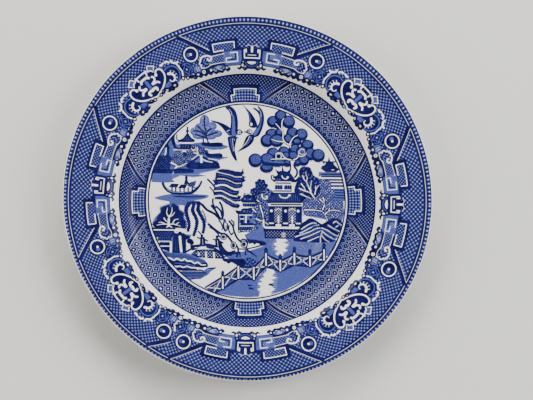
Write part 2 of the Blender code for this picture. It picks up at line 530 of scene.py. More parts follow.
# The square fret: an upper hook, a lower hook and a tail that ends in a snail scroll.
rim.polygon(DARK, 10, 111.4, 29.8, 111.4, 29.8, 102.4, 8, 102.4, 8, 106, 10, 106)
rim.dotted(1.5, 0.72, 0.2, 13, 108.9, 26.6, 108.9, 26.6, 104.8, 13, 103.4)
rim.line(WHITE, 0.95, 20.3, 104.3, 27.1, 104.3, 27.1, 109.3, 12.4, 109.3, 12.4, 105.4, bent=False)
rim.polygon(PALE, 7.4, 93.9, 21.3, 93.9, 21.3, 103.6, 7.4, 103.6)
rim.polygon(WHITE, 10.8, 102, 17, 102, 17, 96.5, 10.8, 96.5, pattern=spots(1.4, 0.24))
rim.line(DARK, 0.5, 12, 101, 12, 97.8, 16.6, 97.8, 16.6, 98.2, bent=False)
rim.line(WHITE, 0.75, 15.6, 102.3, 10.5, 102.3, 10.5, 96.3, 19.2, 96.3, 19.2, 99, 15.4, 99, bent=False)
rim.line(DARK, 0.7, 21.4, 94.6, 21.4, 96)
rim.dotted(1.5, 0.74, 0.2, 20, 102, 30, 102, 37, 100, 36, 96.2, 20, 96.4)
rim.line(WHITE, 0.65, 30, 101.8, 20.3, 102.2)
rim.line(WHITE, 0.65, 34.5, 96.7, 20.6, 96.5)
rim.line(DARK, 1.0, 35.5, 95.3, 21, 95.3)
rim.line(DARK, 0.9, 40.2, 101.3, 40.2, 98, 38.3, 95.4, 34.5, 93.8)
rim.line(
    WHITE, 1.2, 38.4, 100.6, 37, 102.7, 34, 103.2, 31, 102.4, 29.8, 100.9, 30.7, 99.6, 32.4, 99.8,
    32.7, 100.9,
)
rim.line(WHITE, 1.0, 38.2, 101, 39.4, 99.4, 38.6, 97.6, 39.2, 96.8, 37.4, 95.6, bite=0.5)
rim.line(WHITE, 0.65, 37.4, 95.8, 34.8, 95.6, 31.5, 96.5)
rim.line(DARK, 0.6, 36.2, 101.4, 37, 99, 35.4, 97, 33, 96.9)
rim.line(DARK, 0.5, 34.6, 101, 34.4, 99.4, 32.8, 98.6)

# The key and the lens under it.
rim.polygon(DARK, -2, 96.6, 7, 96.6, 7, 104.9, 2.2, 104.9, 2.2, 107, -2, 107)
rim.line(WHITE, 1.0, 4.1, 103.7, 5.4, 103.7, 5.4, 98.4, -2, 98.4, bent=False)
rim.line(WHITE, 1.2, 4.2, 103.9, 4.2, 102.2)
rim.line(WHITE, 0.7, -2, 100.3, 2.9, 100.3)
rim.line(WHITE, 1.7, 0, 102.6, 0, 105.6)
rim.line(WHITE, 0.6, 0.5, 105.9, 2, 106.8, 3.6, 106.2)
rim.area(DARK, -2, 96.8, 7, 96.8, 7.9, 94.4, 5.4, 92.2, 0, 91.5, -2, 91.5)
rim.area(WHITE, -2, 96.1, 3.4, 95.9, 1.9, 94.5, -2, 94.1)
rim.line(WHITE, 0.8, 6.4, 96, 6.5, 94.5, 5.2, 93.2, 3.6, 92.5)
rim.line(PALE, 0.8, 4.7, 95.6, 4, 94.2, 2, 93.2, -1, 92.9)

# The half flower under the tail, the small leaf beyond it, and the coin.
rim.area(DARK, 20.4, 92.4, 22, 95.7, 29.8, 95.7, 31.4, 92.8, 28, 91, 23.5, 91)
rim.area(PALE, 21.6, 93.2, 22.6, 95, 29, 95, 30.2, 93.4, 28.4, 92, 25.8, 92.6, 23.4, 91.8, bite=0.3)
rim.area(WHITE, 23.4, 94.2, 26, 94.9, 28.6, 94.2, 26, 93, pattern=speckle(0.9, 0.1))
rim.line(WHITE, 0.5, 21.4, 93.8, 22.6, 92.2, 24.6, 92.2, 25.8, 92.9, 27.2, 92.2, 29.4, 92.4, 30.6, 94)
rim.area(PALE, 40, 98.2, 44.6, 98.4, 45.4, 94.4, 42, 93.8, 39.4, 94.4)
rim.line(WHITE, 0.4, 42.8, 97.8, 42.4, 95)
rim.line(WHITE, 0.4, 41.2, 97.6, 41, 95)
rim.line(DARK, 0.8, 45.8, 98.6, 46.4, 94)
u, v = coin = (49.8, 98.9)
rim.disc(DARK, *coin, 5.0, 4.8)
rim.ring(PALE, *coin, 4.0, 0.9)
for x in (-1, 1):
    for y in (-1, 1):
        rim.line(PALE, 0.9, u + 3.7 * x, v, u + 1.5 * x, v + 1.4 * y, u, v + 3.5 * y)
rim.disc(PALE, *coin, 1.1)
rim.disc(WHITE, *coin, 0.4)

# The shell: a curled white frond in a dark round, with flame tips outside it.
rim.disc(DARK, 61.3, 100.4, 7.6, 6.6)
rim.ring(PALE, 61.3, 100.2, 5.8, 1.2)
rim.ring(PALE, 62, 99.4, 3.9, 0.7)
rim.area(DARK, 61, 94.6, 66.8, 94.6, 66.8, 103.6, 62, 103.6)
rim.line(WHITE, 1.9, 63.4, 102, 61.4, 100.9, 60.4, 98.8, 61, 97, 62.8, 96.2, end=1.2)
rim.line(WHITE, 0.9, 62.6, 96.2, 64.2, 96.6, 64.6, 98)
for x, y, x_tip, y_tip in (
    (62.2, 101.4, 60.6, 103.2), (61.2, 100.4, 58.8, 101.6), (60.6, 99.2, 58.2, 99.4),
    (60.8, 97.8, 58.6, 97), (61.8, 96.8, 60.2, 95.2),
):
    rim.line(WHITE, 1.2, x, y, x_tip, y_tip, end=0.5)
rim.line(WHITE, 1.4, 65.2, 109.1, 63.2, 109.5)
rim.line(WHITE, 1.4, 61.6, 109.6, 60, 109.2, 59.2, 108.2)
rim.line(WHITE, 1.4, 57.4, 108.7, 57, 107.2, 55, 105.8, 53.4, 105.9)
rim.line(WHITE, 1.2, 55, 105.4, 54.3, 102.4, 53.6, 99, 54.4, 96.4, 53.8, 94.2)
rim.line(DARK, 0.9, 52.6, 103.8, 52.6, 100.5)

# Half the medallion: dark ground, a white bracket round it, and white comma scrolls about the middle.
rim.polygon(PALE, 71.5, 96.4, 69, 93.8, 65.4, 94.4, 65.2, 98)
rim.area(
    DARK, 83, 112.4, 76.4, 112.4, 74.4, 111, 71, 110, 67.5, 109, 64.9, 106, 65.2, 101.4, 68.4, 97.8,
    72.6, 95.4, 77, 93.8, 79.8, 93, 83, 93.6,
)
rim.line(
    WHITE, 1.35, 71, 105.7, 70.3, 107.7, 68.2, 108.3, 66.3, 106.8, 65.9, 103.6, 67.3, 100.4, 70, 97.8,
    74, 95.7, 80.6, 93.7,
)
rim.disc(WHITE, 71.3, 105.8, 1.15)
rim.line(WHITE, 1.25, 82, 111.6, 77.2, 111.6, 76.1, 110.6, 76.4, 109.2)
rim.polygon(PALE, 73.4, 113.2, 69.2, 111.4, 70.6, 109.4, 74.4, 111)
rim.line(WHITE, 0.8, 70.8, 109.2, 69, 111.4, 73, 113.8, 74.6, 111, bent=False)
rim.line(WHITE, 1.1, 76, 112, 74.4, 110.6, 72.6, 110, 71.6, 108.6)
rim.line(PALE, 2.6, 79.8, 100.4, 79.8, 105.6)
rim.line(WHITE, 1.9, 81, 108.1, 77.8, 108.1, 76.6, 107)
rim.line(WHITE, 1.6, 76.8, 102.6, 74.4, 103.4, 73.4, 105.2, 74.4, 106.3)
rim.line(WHITE, 1.6, 76.8, 102, 73.6, 101.8, 72.2, 100.6)
rim.line(WHITE, 1.9, 81, 98.4, 78, 99.4, 76.2, 98.6, 76.6, 97.4)
rim.line(PALE, 0.5, 78.4, 109, 78.4, 110.6)

# The inner edging: white petals outlined in dark, and dark commas under them.
for x, y, wide, tall in (
    (6.9, 93.7, 0.9, 1.1), (19.6, 93, 0.8, 0.7), (32.2, 93.4, 1.1, 0.9), (38, 93.5, 1.5, 1.3),
    (43, 93.2, 1.2, 0.7), (47, 94.2, 1.2, 0.8), (51.6, 93.8, 0.8, 0.6), (55.2, 94.8, 0.9, 0.8),
    (63.6, 93.4, 1.3, 0.7), (67.8, 93, 1.1, 0.7), (73.2, 94.4, 1.3, 0.6), (76.6, 93.4, 1, 0.5),
):
    rim.disc(DARK, x, y, wide + 0.65, tall + 0.65)
    rim.disc(WHITE, x, y, wide, tall)
rim.disc(PALE, 38, 93.5, 0.5)
for x, y in (
    (5, 91.3), (9.4, 91.9), (18.8, 91.4), (23.6, 91), (28.4, 91), (32.8, 91.2), (37, 91.3), (41.2, 91.4),
    (45.7, 91.6), (48.6, 92.9), (62.6, 92.2), (66, 91.7), (69.2, 92.3), (74.2, 93.3),
):
    rim.line(DARK, 1.6, x - 1.4, y + 0.8, x, y - 0.1, x + 1.5, y + 0.4, end=0.7)


LEFT_OVER = 0.03  # the share of a strip's overhang that is left when it is drawn in


def stretch(border, half, angle_from, angle_to, from_u, to_u):
    """Columns of a half repeat from one place along it to another, spread evenly over an angle."""
    last = border.shape[1] - 1
    first, final = round(from_u / half * last), round(to_u / half * last)
    columns = np.linspace(first, final, abs(final - first) + 1).astype(int)
    return columns, np.radians(np.linspace(angle_from, angle_to, len(columns)))


def border_film(name, border, v, half, stretches, node, within, shift):
    """Half repeats laid end to end round the plate: p = (v cos a, v sin a) + shift, and what would lie
    outside the outer radius in within drawn in almost to it."""
    runs = [stretch(border, half, *s) for s in stretches]
    columns = np.concatenate([runs[0][0]] + [run[0][1:] for run in runs[1:]])
    angles = np.concatenate([runs[0][1]] + [run[1][1:] for run in runs[1:]])
    radius = v[:, :1]
    dark = border.dark.reshape(border.shape)[:, columns]
    pale = border.pale.reshape(border.shape)[:, columns]
    x, y = radius * np.cos(angles) + shift[0], radius * np.sin(angles) + shift[1]
    out = np.hypot(x, y)
    pull = np.where(out > within[1], (within[1] + LEFT_OVER * (out - within[1])) / out, 1)
    return film(name, x * pull, y * pull, dark, pale, node, within)


# The strip went on a little low, and stretched as it was eased out to the edge. Each stretch runs from one
# angle to another, and from one place along the half repeat to another.
JOIN = 241.8  # where the strip's two ends meet
RIM_SHIFT = (-0.25, -1.1)
RIM_ZONE = (89.3, 126.5)
laid_v = rim_v + 0.5 + 0.045 * (rim_v - 94.7)
rim_strips = {
    "rim_print_top": ((42.9, 88.4, HALF, 0), (88.4, 131, 0, HALF)),
    "rim_print_left": ((131, 175.3, HALF, 0), (175.3, 218.1, 0, HALF), (218.1, JOIN, HALF, 36.4)),
    "rim_print_bottom": ((JOIN, 269.2, 51.3, 0), (269.2, 312.7, 0, HALF)),
    "rim_print_right": ((-47.3, -1.5, HALF, 0), (-1.5, 42.9, 0, HALF)),
}
for name, stretches in rim_strips.items():
    border_film(name, rim, laid_v, HALF, stretches, "rim_border_print", RIM_ZONE, RIM_SHIFT)


# ---------------------------------------------------------------- inner border print
# The border round the wall of the well: four stepped cartouches of trellis, each in a panel of fine lattice
# with slanting sides, and between the panels a diaper of squares with a spot in each.

INNER_HALF = 61.3
INNER_SHIFT = (0, -0.55)
INNER_ZONE = (68.3, 89.1)
inner_u, inner_v = np.meshgrid(np.linspace(0, INNER_HALF, 236), np.linspace(68.8, 88.6, 77))
inner = Print(inner_u, inner_v)


def diaper(part):
    """A lattice of squares set on their corners, smaller towards the middle: along each square's own axes,
    in pitches, m is the distance to its middle. Parts: the lines between the squares, with a knot at each
    crossing, the square, the white frame round it and the white spot in it."""

    def ink(x, y):
        a, b = (x - 31.5) / 5.9, np.log(y / 85.6) / 0.0905
        p, q = np.abs(a + b - np.round(a + b)), np.abs(a - b - np.round(a - b))
        m = np.maximum(p, q)
        size = 4.4 * y / 85.6
        if part == "lines":
            return np.maximum(m - 0.475, p + q - 0.83) * size
        if part == "square":
            return (0.27 - m) * size
        if part == "frame":
            return (0.027 * smooth_step((y - 64) / 14) - np.abs(m - 0.39)) * size
        return (0.135 * smooth_step((y - 62) / 20) - np.hypot(p, q)) * size

    return ink


whole = (-2, 88.3, 64, 88.3, 64, 69, -2, 69)
inner.polygon(PALE, *whole)
for tone, part in ((DARK, "lines"), (DARK, "square"), (WHITE, "frame"), (WHITE, "spot")):
    inner.polygon(tone, *whole, pattern=diaper(part))

# The panel of fine lattice and its slanting side.
lattice = (-2, 88.2, 28, 88.2, 12.4, 69.2, -2, 69.2)
inner.polygon(DARK, *lattice)
inner.dotted(1.6, 0.66, 0.22, *lattice)
inner.line(DARK, 2.3, 28.5, 88.3, 12.4, 69.6)
inner.line(WHITE, 0.6, 30, 88.2, 14.5, 70.8, end=0.4)
inner.line(WHITE, 0.5, 26.7, 88.2, 12.7, 71.6, end=0.4)

# The stepped cartouche and its trellis, and the lines round the border's two edges.
inner.polygon(DARK, -2, 81.8, 9.8, 81.8, 9.8, 77.6, 12.4, 77.6, 12.4, 69.2, -2, 69.2)
trellis = (-2, 79.2, 7.5, 79.2, 7.5, 75.1, 10.1, 75.1, 10.1, 69.4, -2, 69.4)
inner.polygon(PALE, *trellis, pattern=spots(2.1, 0.9, 0))
for angle in (0, 90):
    inner.polygon(PALE, *trellis, pattern=hatch(angle, 2.1, 0.9))
inner.polygon(WHITE, *trellis, pattern=spots(2.1, 0.3, 0))
inner.line(WHITE, 0.95, -2, 79.2, 7.6, 79.2, 7.6, 75.1, 10.2, 75.1, 10.2, 70, bent=False)
inner.line(DARK, 0.9, -2, 88.1, 64, 88.1)
inner.polygon(WHITE, -2, 69.6, 64, 69.6, 64, 68, -2, 68)
inner.line(DARK, 1.1, -2, 70.1, 64, 70.1)

# Each strip runs from the middle of one cartouche, past the middle of a diaper, to the next cartouche.
for name, start, middle, end in (
    ("top", 91, 136, 181), ("left", 181, 226.2, 271.4), ("bottom", 271.4, 316.2, 361),
    ("right", 361, 406, 451),
):
    border_film(
        "inner_print_" + name, inner, inner_v, INNER_HALF,
        [(start, middle, 0, INNER_HALF), (middle, end, INNER_HALF, 0)],
        "inner_border_print", INNER_ZONE, INNER_SHIFT,
    )


# ---------------------------------------------------------------- scene print
# The landscape on the floor of the well, after the old willow-and-temple designs: an island and a boat on
# the left, two birds at the top, a fruit tree and a two-storey temple on the right, a bare-trunked willow
# and a footbridge in the middle, and a zigzag fence in front. x is to the right and y is up.

SCENE_RADIUS = 69.1
MIDDLE = 220

# A square grid drawn into a disc: p = r (cos(pi b / 4a), sin(pi b / 4a)), r = a, where a is the larger of
# a point's two places along the sides and b the smaller.
side = np.linspace(-1, 1, 2 * MIDDLE + 1)
grid_a, grid_b = np.meshgrid(side, side, indexing="ij")
wide = np.abs(grid_a) > np.abs(grid_b)
reach = np.where(wide, grid_a, grid_b)
ratio = np.where(wide, grid_b, grid_a) / np.where(np.abs(reach) < 1e-9, 1e-9, reach)
across, along = reach * np.cos(math.pi / 4 * ratio), reach * np.sin(math.pi / 4 * ratio)
scene_x = SCENE_RADIUS * np.where(wide, across, along)
scene_y = SCENE_RADIUS * np.where(wide, along, across)
scene = Print(scene_x, scene_y)
line, area, polygon, dotted, disc = scene.line, scene.area, scene.polygon, scene.dotted, scene.disc


def ball(x, y, rx, ry=None):
    """A round fruit: a dark outline, heavier below, and a pale cheek."""
    ry = ry or rx
    disc(DARK, x, y, rx + 0.3, ry + 0.3)
    disc(PALE, x + 0.3, y + 0.7, rx - 0.85, ry - 1.05)
    disc(DARK, x, y - 1, rx, ry, pattern=speckle(1.1, 1.7))


# Water and the foreground path, with ragged white reflections.
polygon(PALE, 12, -25, 38, -25, 62, -26, 62, -32, 56, -38, 44, -40, 34, -39, 23, -42, 13, -38)
polygon(
    WHITE, 19, -26.6, 28, -26.6, 30, -30.6, 28.4, -34, 25.4, -38.2, 20.8, -38, 17.4, -33.6, 16.8, -30,
    pattern=hatch(0, 1.3, 0.3),
)
polygon(
    WHITE, 20, -26.4, 27, -26.4, 28.2, -28, 24.8, -28.6, 29, -30.6, 26.2, -33, 28.3, -34.6, 25, -36,
    25, -38.2, 21.4, -38, 19.6, -36.6, 22, -35, 19, -33.6, 20.6, -31.6, 18.2, -30, 21, -28.6, bite=0.25,
)
area(
    WHITE, 48, -28.8, 51.5, -29.6, 50.5, -33, 46, -36.6, 43.8, -36, 46.4, -32.4,
    pattern=hatch(20, 1.2, 0.12),
)
area(WHITE, 30, -27, 60, -27, 56, -36, 36, -38, pattern=speckle(1.0, 1.7))
polygon(
    PALE, -16, -38.8, -9, -36.2, 0, -35.2, 4, -34.2, 9, -32.4, 13, -31, 13, -45, 8, -47.4, -5, -46.4,
    -8, -42.5,
)
polygon(
    PALE, -22, -64.5, -15.5, -61, -8, -56, 5, -54.5, 9, -52, 14, -45.5, 18, -46.6, 23, -49.2, 29, -46.5,
    34, -44.5, 44, -46, 50, -43.5, 54, -41.3, 48, -48.5, 38, -56, 26, -62.5, 12, -66.6, 0, -67.4,
    -12, -66.4,
)
polygon(
    WHITE, 13, -48, 19.6, -48, 21.6, -53.6, 20.4, -61.6, 17, -66.2, 9, -67, 6.8, -61, 7.6, -56,
    pattern=hatch(0, 1.3, 0.3),
)
polygon(
    WHITE, 14, -47.2, 18.6, -48, 19.4, -50, 17.6, -52.4, 21, -53.6, 17, -55, 19, -56.6, 15.6, -58,
    17.6, -60, 19.4, -61.6, 16.8, -63.4, 17, -66.4, 8, -67.4, 9.4, -63.4, 7.2, -62, 9.8, -60, 7.6, -57.6,
    10.8, -56.4, 9, -55, 12.2, -53, 11, -51.2, 13.6, -49.4, bite=0.25,
)
line(DARK, 1.4, 15.8, -58.4, 18, -58.8, end=0.5)
line(DARK, 1.0, 2, -61, 4.6, -61.6, end=0.4)
line(DARK, 0.7, 1, -59, 3.4, -59.2, end=0.4)

# Island with a cottage at the upper left, behind bands of mist.
polygon(
    PALE, -67, 20.6, -62, 21.4, -46, 22, -28, 22.2, -21, 21.6, -28, 20, -34, 18.4, -28, 17.4, -38, 16.2,
    -46, 17.4, -52, 14.6, -50, 12.8, -57, 12.2, -66, 12.6,
)
area(
    PALE, -66, 21, -63, 29, -56, 38, -53, 45, -48, 41, -40, 40, -30, 41, -18, 39.6, -13, 38, -18, 36,
    -30, 34, -28, 31, -13, 30.6, -20, 28, -20, 22, -44, 20,
)
area(PALE, -52, 31, -46, 37, -38, 38, -28, 35, -27, 31, -36, 27, -44, 25, -52, 26)
area(
    DARK, -53, 26, -50, 34, -44, 37, -36, 39, -30, 37, -27, 34, -34, 31, -38, 25, -48, 23,
    pattern=speckle(1.4, 0.3),
)
area(
    WHITE, -53, 26, -50, 36, -44, 38, -36, 39, -30, 37, -34, 31, -38, 25, -48, 23,
    pattern=speckle(1.25, 1.1),
)
area(DARK, -66, 20, -64, 25, -60.5, 31, -53, 30.6, -53.4, 22, -53, 19.4, pattern=speckle(1.4, -0.5))
area(WHITE, -52, 18.6, -40, 19, -24, 21, -30, 18.4, -50, 14.6, pattern=hatch(2, 1.5, 0.14))
line(DARK, 2.6, -66, 20.3, -52, 20.2, -38, 20.6, end=2.2)
line(DARK, 2.9, -51.4, 45.6, -51.2, 41, -50, 37.4, end=1.2)
line(WHITE, 0.8, -49.6, 47, -50, 43.5, -49.4, 40.8, -48, 39.4)
line(PALE, 1.0, -48.9, 46, -49, 43)
line(DARK, 1.6, -54, 43, -55.4, 39.6, -54.2, 36.4, end=0.8)
line(DARK, 1.6, -56.6, 38.5, -54.8, 34.6, -55, 31, end=0.9)
line(WHITE, 0.8, -56, 36.8, -56.4, 34, -57, 31.6)
line(DARK, 0.9, -41.5, 51.4, -41.5, 47, bent=False)
disc(DARK, -41.5, 48.8, 1.1, 0.7)
polygon(
    DARK, -41.5, 48, -40.6, 46.6, -38.8, 44, -36, 42.4, -37, 41, -47.6, 41, -48.8, 43.2, -47, 42.4,
    -44.2, 43.8, -42.4, 46.4,
)
polygon(PALE, -41.4, 45.8, -39.4, 43.4, -38.4, 41.8, -45, 41.8, -43.2, 44, pattern=hatch(90, 1.5, 0.6))
line(WHITE, 0.7, -47.8, 40.1, -37.4, 40.2)
polygon(DARK, -46.5, 39.4, -38.5, 39.4, -38.5, 36.2, -46.5, 36.2, pattern=hatch(90, 1.9, 1.2))
line(DARK, 0.9, -50, 37, -46, 36.2, -39, 36.2)
line(WHITE, 0.6, -51, 35.5, -40, 35.4)
polygon(WHITE, -44.6, 35.4, -42.6, 35.2, -41.6, 32.6, -43.8, 34.2, -46, 33.2)
disc(DARK, -43, 32.4, 1.1, 1.5)
line(WHITE, 1.0, -38.6, 36.4, -36.8, 35.2, -35.8, 37.2)
line(WHITE, 0.9, -34.6, 37, -34.4, 33.4, -32.6, 31)
line(WHITE, 0.8, -36.8, 33.6, -34.2, 32.6)
line(DARK, 1.0, -37.6, 36.4, -36.4, 36.8)
line(WHITE, 1.2, -52.6, 26.2, -49.8, 25, -47.5, 23.6, -44.6, 24.6, -41.6, 26.3, end=0.5)
line(WHITE, 1.3, -48.6, 23.8, -50.4, 21.4, -51.4, 18.6, end=0.6)
line(DARK, 2.2, -50, 21, -46, 21.2, -39, 20.8)
area(DARK, -40.6, 26, -37, 26.6, -20.8, 26.8, -19.8, 24.6, -20.6, 22.8, -40, 22.4, bite=0.2)
area(PALE, -38, 25.6, -22, 25.8, -21.6, 23.8, -38, 23.4, pattern=speckle(1.3, 0.9))
area(PALE, -30, 40.4, -19, 40.2, -19, 39, -30, 39, pattern=speckle(1.3, 0.7))
area(PALE, -28, 32.8, -19, 32.6, -19, 31, -27, 31.2, pattern=speckle(1.3, 0.7))
area(PALE, -65, 20.8, -40, 21, -40, 19.8, -65, 19.6, pattern=speckle(1.3, 0.7))
line(DARK, 1.2, -39, 27, -36, 28.6, -33.2, 31, end=0.6)
line(DARK, 1.3, -32, 31.2, -28, 29.2, -23.4, 27.8, -20.6, 26, end=0.8)
line(WHITE, 0.7, -38.6, 28.6, -36, 30.4, -34.2, 32)
polygon(WHITE, -32.6, 32, -31, 32, -30.8, 26.2, -32.4, 26.2)
line(WHITE, 0.7, -30.6, 29, -27.8, 27.6, -24, 26.8)
area(DARK, -31, 41, -26, 40.6, -20.4, 41, -17.2, 40.4, -17.4, 38.4, -22, 38, -27, 38.2, -31, 39, bite=0.2)
area(DARK, -29, 33.4, -25, 33, -19, 33.4, -17.2, 32.4, -17.6, 30.4, -23, 30.2, -27, 30.8, bite=0.2)
line(WHITE, 0.8, -29, 36.2, -24, 35.2, -20, 35.6)
line(WHITE, 0.7, -27, 29.4, -20, 28.4)

# The pale leafy tree on the island.
for x, y, rx, ry in (
    (-29.6, 55.6, 3.4, 4.8), (-36.4, 48.6, 3.2, 2.8), (-33, 51.4, 3.4, 3), (-24.4, 52.4, 3.4, 3),
    (-21.4, 47.2, 4.2, 2.6), (-29, 48.4, 5.6, 4.6), (-26, 44.6, 4.4, 1.8), (-33.6, 45.6, 4.4, 2.6),
):
    disc(PALE, x, y, rx, ry)
    disc(WHITE, x - 0.4, y + 0.5, rx - 0.9, ry - 0.9, pattern=speckle(1.0, 1.1))
for stroke in (
    (-29.6, 59, -29.8, 54.6, -28.8, 49), (-37, 49, -33, 48.6, -29, 46), (-34.6, 52.6, -32, 50, -29, 47.6),
    (-25, 50.6, -27.6, 48.6, -28.6, 46), (-20.8, 48.2, -24.6, 46.8, -28, 45.6),
    (-36, 46.4, -32.6, 45.4, -29, 44.4),
):
    line(DARK, 0.75, *stroke)
line(DARK, 0.9, -30.6, 45, -30.4, 41, -31, 40)
line(DARK, 0.8, -28.4, 45, -27.4, 42, -26.4, 40.4)

# The two birds, wings spread, beak to beak.
area(
    DARK, -25.6, 56.4, -22, 56, -17, 54.4, -13, 52.2, -10.6, 49.8, -10.6, 46.4, -12.8, 46, -15, 48.6,
    -17.6, 51.8, -21, 54.4,
)
line(WHITE, 0.6, -20.4, 53.6, -17, 50.6, -14.6, 47.4)
line(PALE, 1.4, -14.4, 48.4, -12.6, 46.8)
line(WHITE, 0.6, -13.8, 49, -12.2, 49.8)
area(
    DARK, -12.2, 66.6, -9.4, 65, -7.4, 61.6, -6.4, 56, -6.6, 49.6, -8, 46, -10.8, 46, -11.6, 50,
    -11.2, 55, -11.4, 60, -12.8, 63.4, -15, 65.6,
)
area(PALE, -10.2, 60, -9, 60, -8.2, 55, -8, 49, -7.6, 45.2, -10, 44.8, -10.8, 49, -10.4, 55)
line(WHITE, 0.5, -12.6, 64.6, -11, 62.6, -10.4, 60)
disc(DARK, -5.4, 48.4, 2.0)
disc(WHITE, -5.2, 48.4, 1.3)
disc(DARK, -5.1, 48.4, 0.5)
line(PALE, 1.0, -7.2, 46.6, -6.6, 47.4)
line(DARK, 1.0, -3.8, 48.4, -3.2, 48.4)
area(DARK, -13, 45, -7.4, 45.2, -7.6, 41.8, -8.6, 36, -7, 29, -8, 28.4, -10.4, 32, -12.4, 37.6, -13.2, 42)
line(PALE, 0.8, -11.6, 43.8, -10.8, 39, -9.8, 35)
line(WHITE, 0.5, -10.2, 44, -9.8, 39.6, -9.2, 35)
line(DARK, 0.7, -9.8, 44.8, -6.4, 44.4)
line(WHITE, 0.5, -9.4, 43.6, -8.4, 42.6)
area(
    DARK, -2.8, 67.2, -1.6, 66.4, 2, 63, 5.2, 58.4, 7, 54.2, 6.6, 52, 3.4, 51.6, 1.4, 53.2, 1.6, 57,
    0.8, 61.4, -1, 65,
)
line(PALE, 0.8, 0.6, 63.4, 2.2, 59, 2.4, 55.6)
disc(WHITE, 3.0, 54, 0.9, 1.3)
area(
    DARK, 7.4, 67, 9.8, 65.2, 11.4, 62, 11.9, 57.6, 11.2, 53, 9.8, 49, 8, 46, 5, 45, 3.6, 46.4, 6.6, 51.6,
    8.6, 55.6, 8.6, 60, 7, 63, 4, 65.6, 6, 65.4, 8.4, 63.6,
)
area(
    PALE, 9.6, 61.6, 10.2, 58, 9.8, 54, 8.4, 49.4, 6.4, 46.2, 4.4, 46.2, 4.8, 49, 7.4, 51.6, 9.2, 55,
    9, 59,
)
line(WHITE, 0.5, 8, 65.6, 9.6, 62.4, 10, 59.4)
disc(DARK, 1.7, 48.8, 2.1, 1.7)
disc(WHITE, 2, 48.9, 1.5, 1.1)
disc(DARK, 1.6, 48.9, 0.5)
line(DARK, 0.8, -0.4, 48.4, -1.6, 48.6)
area(
    DARK, 4.6, 46.6, 4.8, 43.4, 3.2, 40.4, -0.4, 37.4, -6, 34.6, -6.8, 34.2, -3.4, 38, -2.2, 41,
    -0.6, 44.8, 1.6, 46.6,
)
line(PALE, 0.8, 3, 44.6, 1.2, 41.4, -1, 39)
line(WHITE, 0.6, 1.8, 45.6, 0.4, 42.4, -2, 39.2, -4.6, 36.8)
line(PALE, 0.9, 2.6, 45.4, 3, 43.4)

# The boat with two cabins and a boatman, and its reflection.
area(
    PALE, -64, 1.6, -58, 3.4, -52, 4.4, -40, 4.6, -32, 4.2, -26.6, 3.6, -29, 1.4, -38, -0.6, -42, -3.4,
    -50, -3, -54, -1, -60, 0, bite=0.2,
)
area(DARK, -52, 3.4, -40, 3.4, -29, 3.2, -34, 1.6, -46, 1.8, pattern=hatch(0, 1.3, 0.5))
line(
    DARK, 1.7, -58.4, 11.6, -56.8, 8.4, -54, 6, -50, 5, -40, 5, -36.4, 6.4, -33.4, 9.6, -31.6, 13.2,
    end=1.2,
)
line(PALE, 0.8, -57.4, 10.6, -55.8, 8.4, -53, 6.6, -49, 5.9, -40, 5.9, -36.6, 7.6, -33.6, 10.4)
line(WHITE, 0.4, -55.6, 7.4, -52, 5.8, -44, 5.4)
polygon(DARK, -52.4, 11.6, -47.2, 11.4, -48.5, 9.1, -54.2, 9.1)
polygon(DARK, -45.8, 11, -41.4, 11.2, -42.6, 8.6, -47.8, 8.6)
polygon(PALE, -40.2, 12.4, -35.2, 13.8, -36.2, 10.2, -39.4, 9.2, -41.4, 10.4)
polygon(DARK, -40.2, 12.4, -35.2, 13.8, -36.2, 10.2, -39.4, 9.2, -41.4, 10.4, pattern=hatch(50, 1.3, 0.55))
polygon(DARK, -42.2, 17.8, -41.2, 16.2, -41.4, 14.4, -40.2, 11.4, -43.8, 11.4, -42.8, 14.4, -43, 16.2)
line(PALE, 0.5, -51, 10.8, -49.6, 9.6)
for x in (-52, -49.4, -46.4, -43.6, -40.8, -38):
    line(DARK, 0.9, x, 8.8, x, 6.6)
line(DARK, 0.6, -37.6, 9.4, -34.6, 8.4)

# The fruit tree: fruits first, then its white branches.
for fruit in (
    (17.4, 47.4, 4.4, 3.4), (22.4, 48.2, 2.8), (13.9, 42.6, 4.3), (20.6, 42.6, 4.6, 4.2), (18, 56, 3.9),
    (23.4, 60.2, 3.9, 3.8), (29, 56, 4.3), (31.6, 48.2, 4.0, 3.8), (38, 47.2, 4.1),
    (28.4, 43.8, 2.8, 3.5), (34.4, 41.8, 3.1, 2.6), (42, 39.8, 4.2, 3.5), (18, 34, 3.9, 3.5),
    (25.6, 34.8, 3.7), (33, 36.6, 3.6), (32, 31.8, 4.2, 3.2), (27, 32, 2.8), (38.2, 35, 3.6),
    (44, 33.4, 4.2, 4.2), (49.6, 32.5, 4.4), (39.3, 28.8, 3.6, 3.4), (35, 27, 2.3, 2.2), (21, 27, 5, 2.6),
    (28, 26.8, 2.6, 2.4), (13.6, 23.2, 4.3, 3), (14, 29.4, 4.6, 4.2), (5.8, 28.6, 4.6),
):
    ball(*fruit)
area(DARK, 11, 27.4, 17, 27, 24, 27.4, 29.6, 26.4, 29, 25, 21, 24.8, 12, 25.4)
line(PALE, 1.2, 16, 27.6, 25.6, 27.3)
line(PALE, 1.1, 16, 30.6, 19, 30)
area(DARK, 21.6, 57.6, 24.4, 56.4, 24.6, 51.4, 20, 51.2, 19, 54, bite=0.2)
polygon(WHITE, 29.4, 29.4, 33.6, 29.2, 33.2, 24, 34.6, 21.6, 34.4, 18.6, 30.2, 18.6, 31, 22, 30.2, 26)
line(DARK, 0.8, 29.8, 28.4, 30.4, 25, 30.2, 22, 29.2, 19.6)
line(DARK, 1.2, 33.4, 27.4, 32.8, 25, 34.8, 21.8, 34.6, 18.6, 33.4, 17.2)
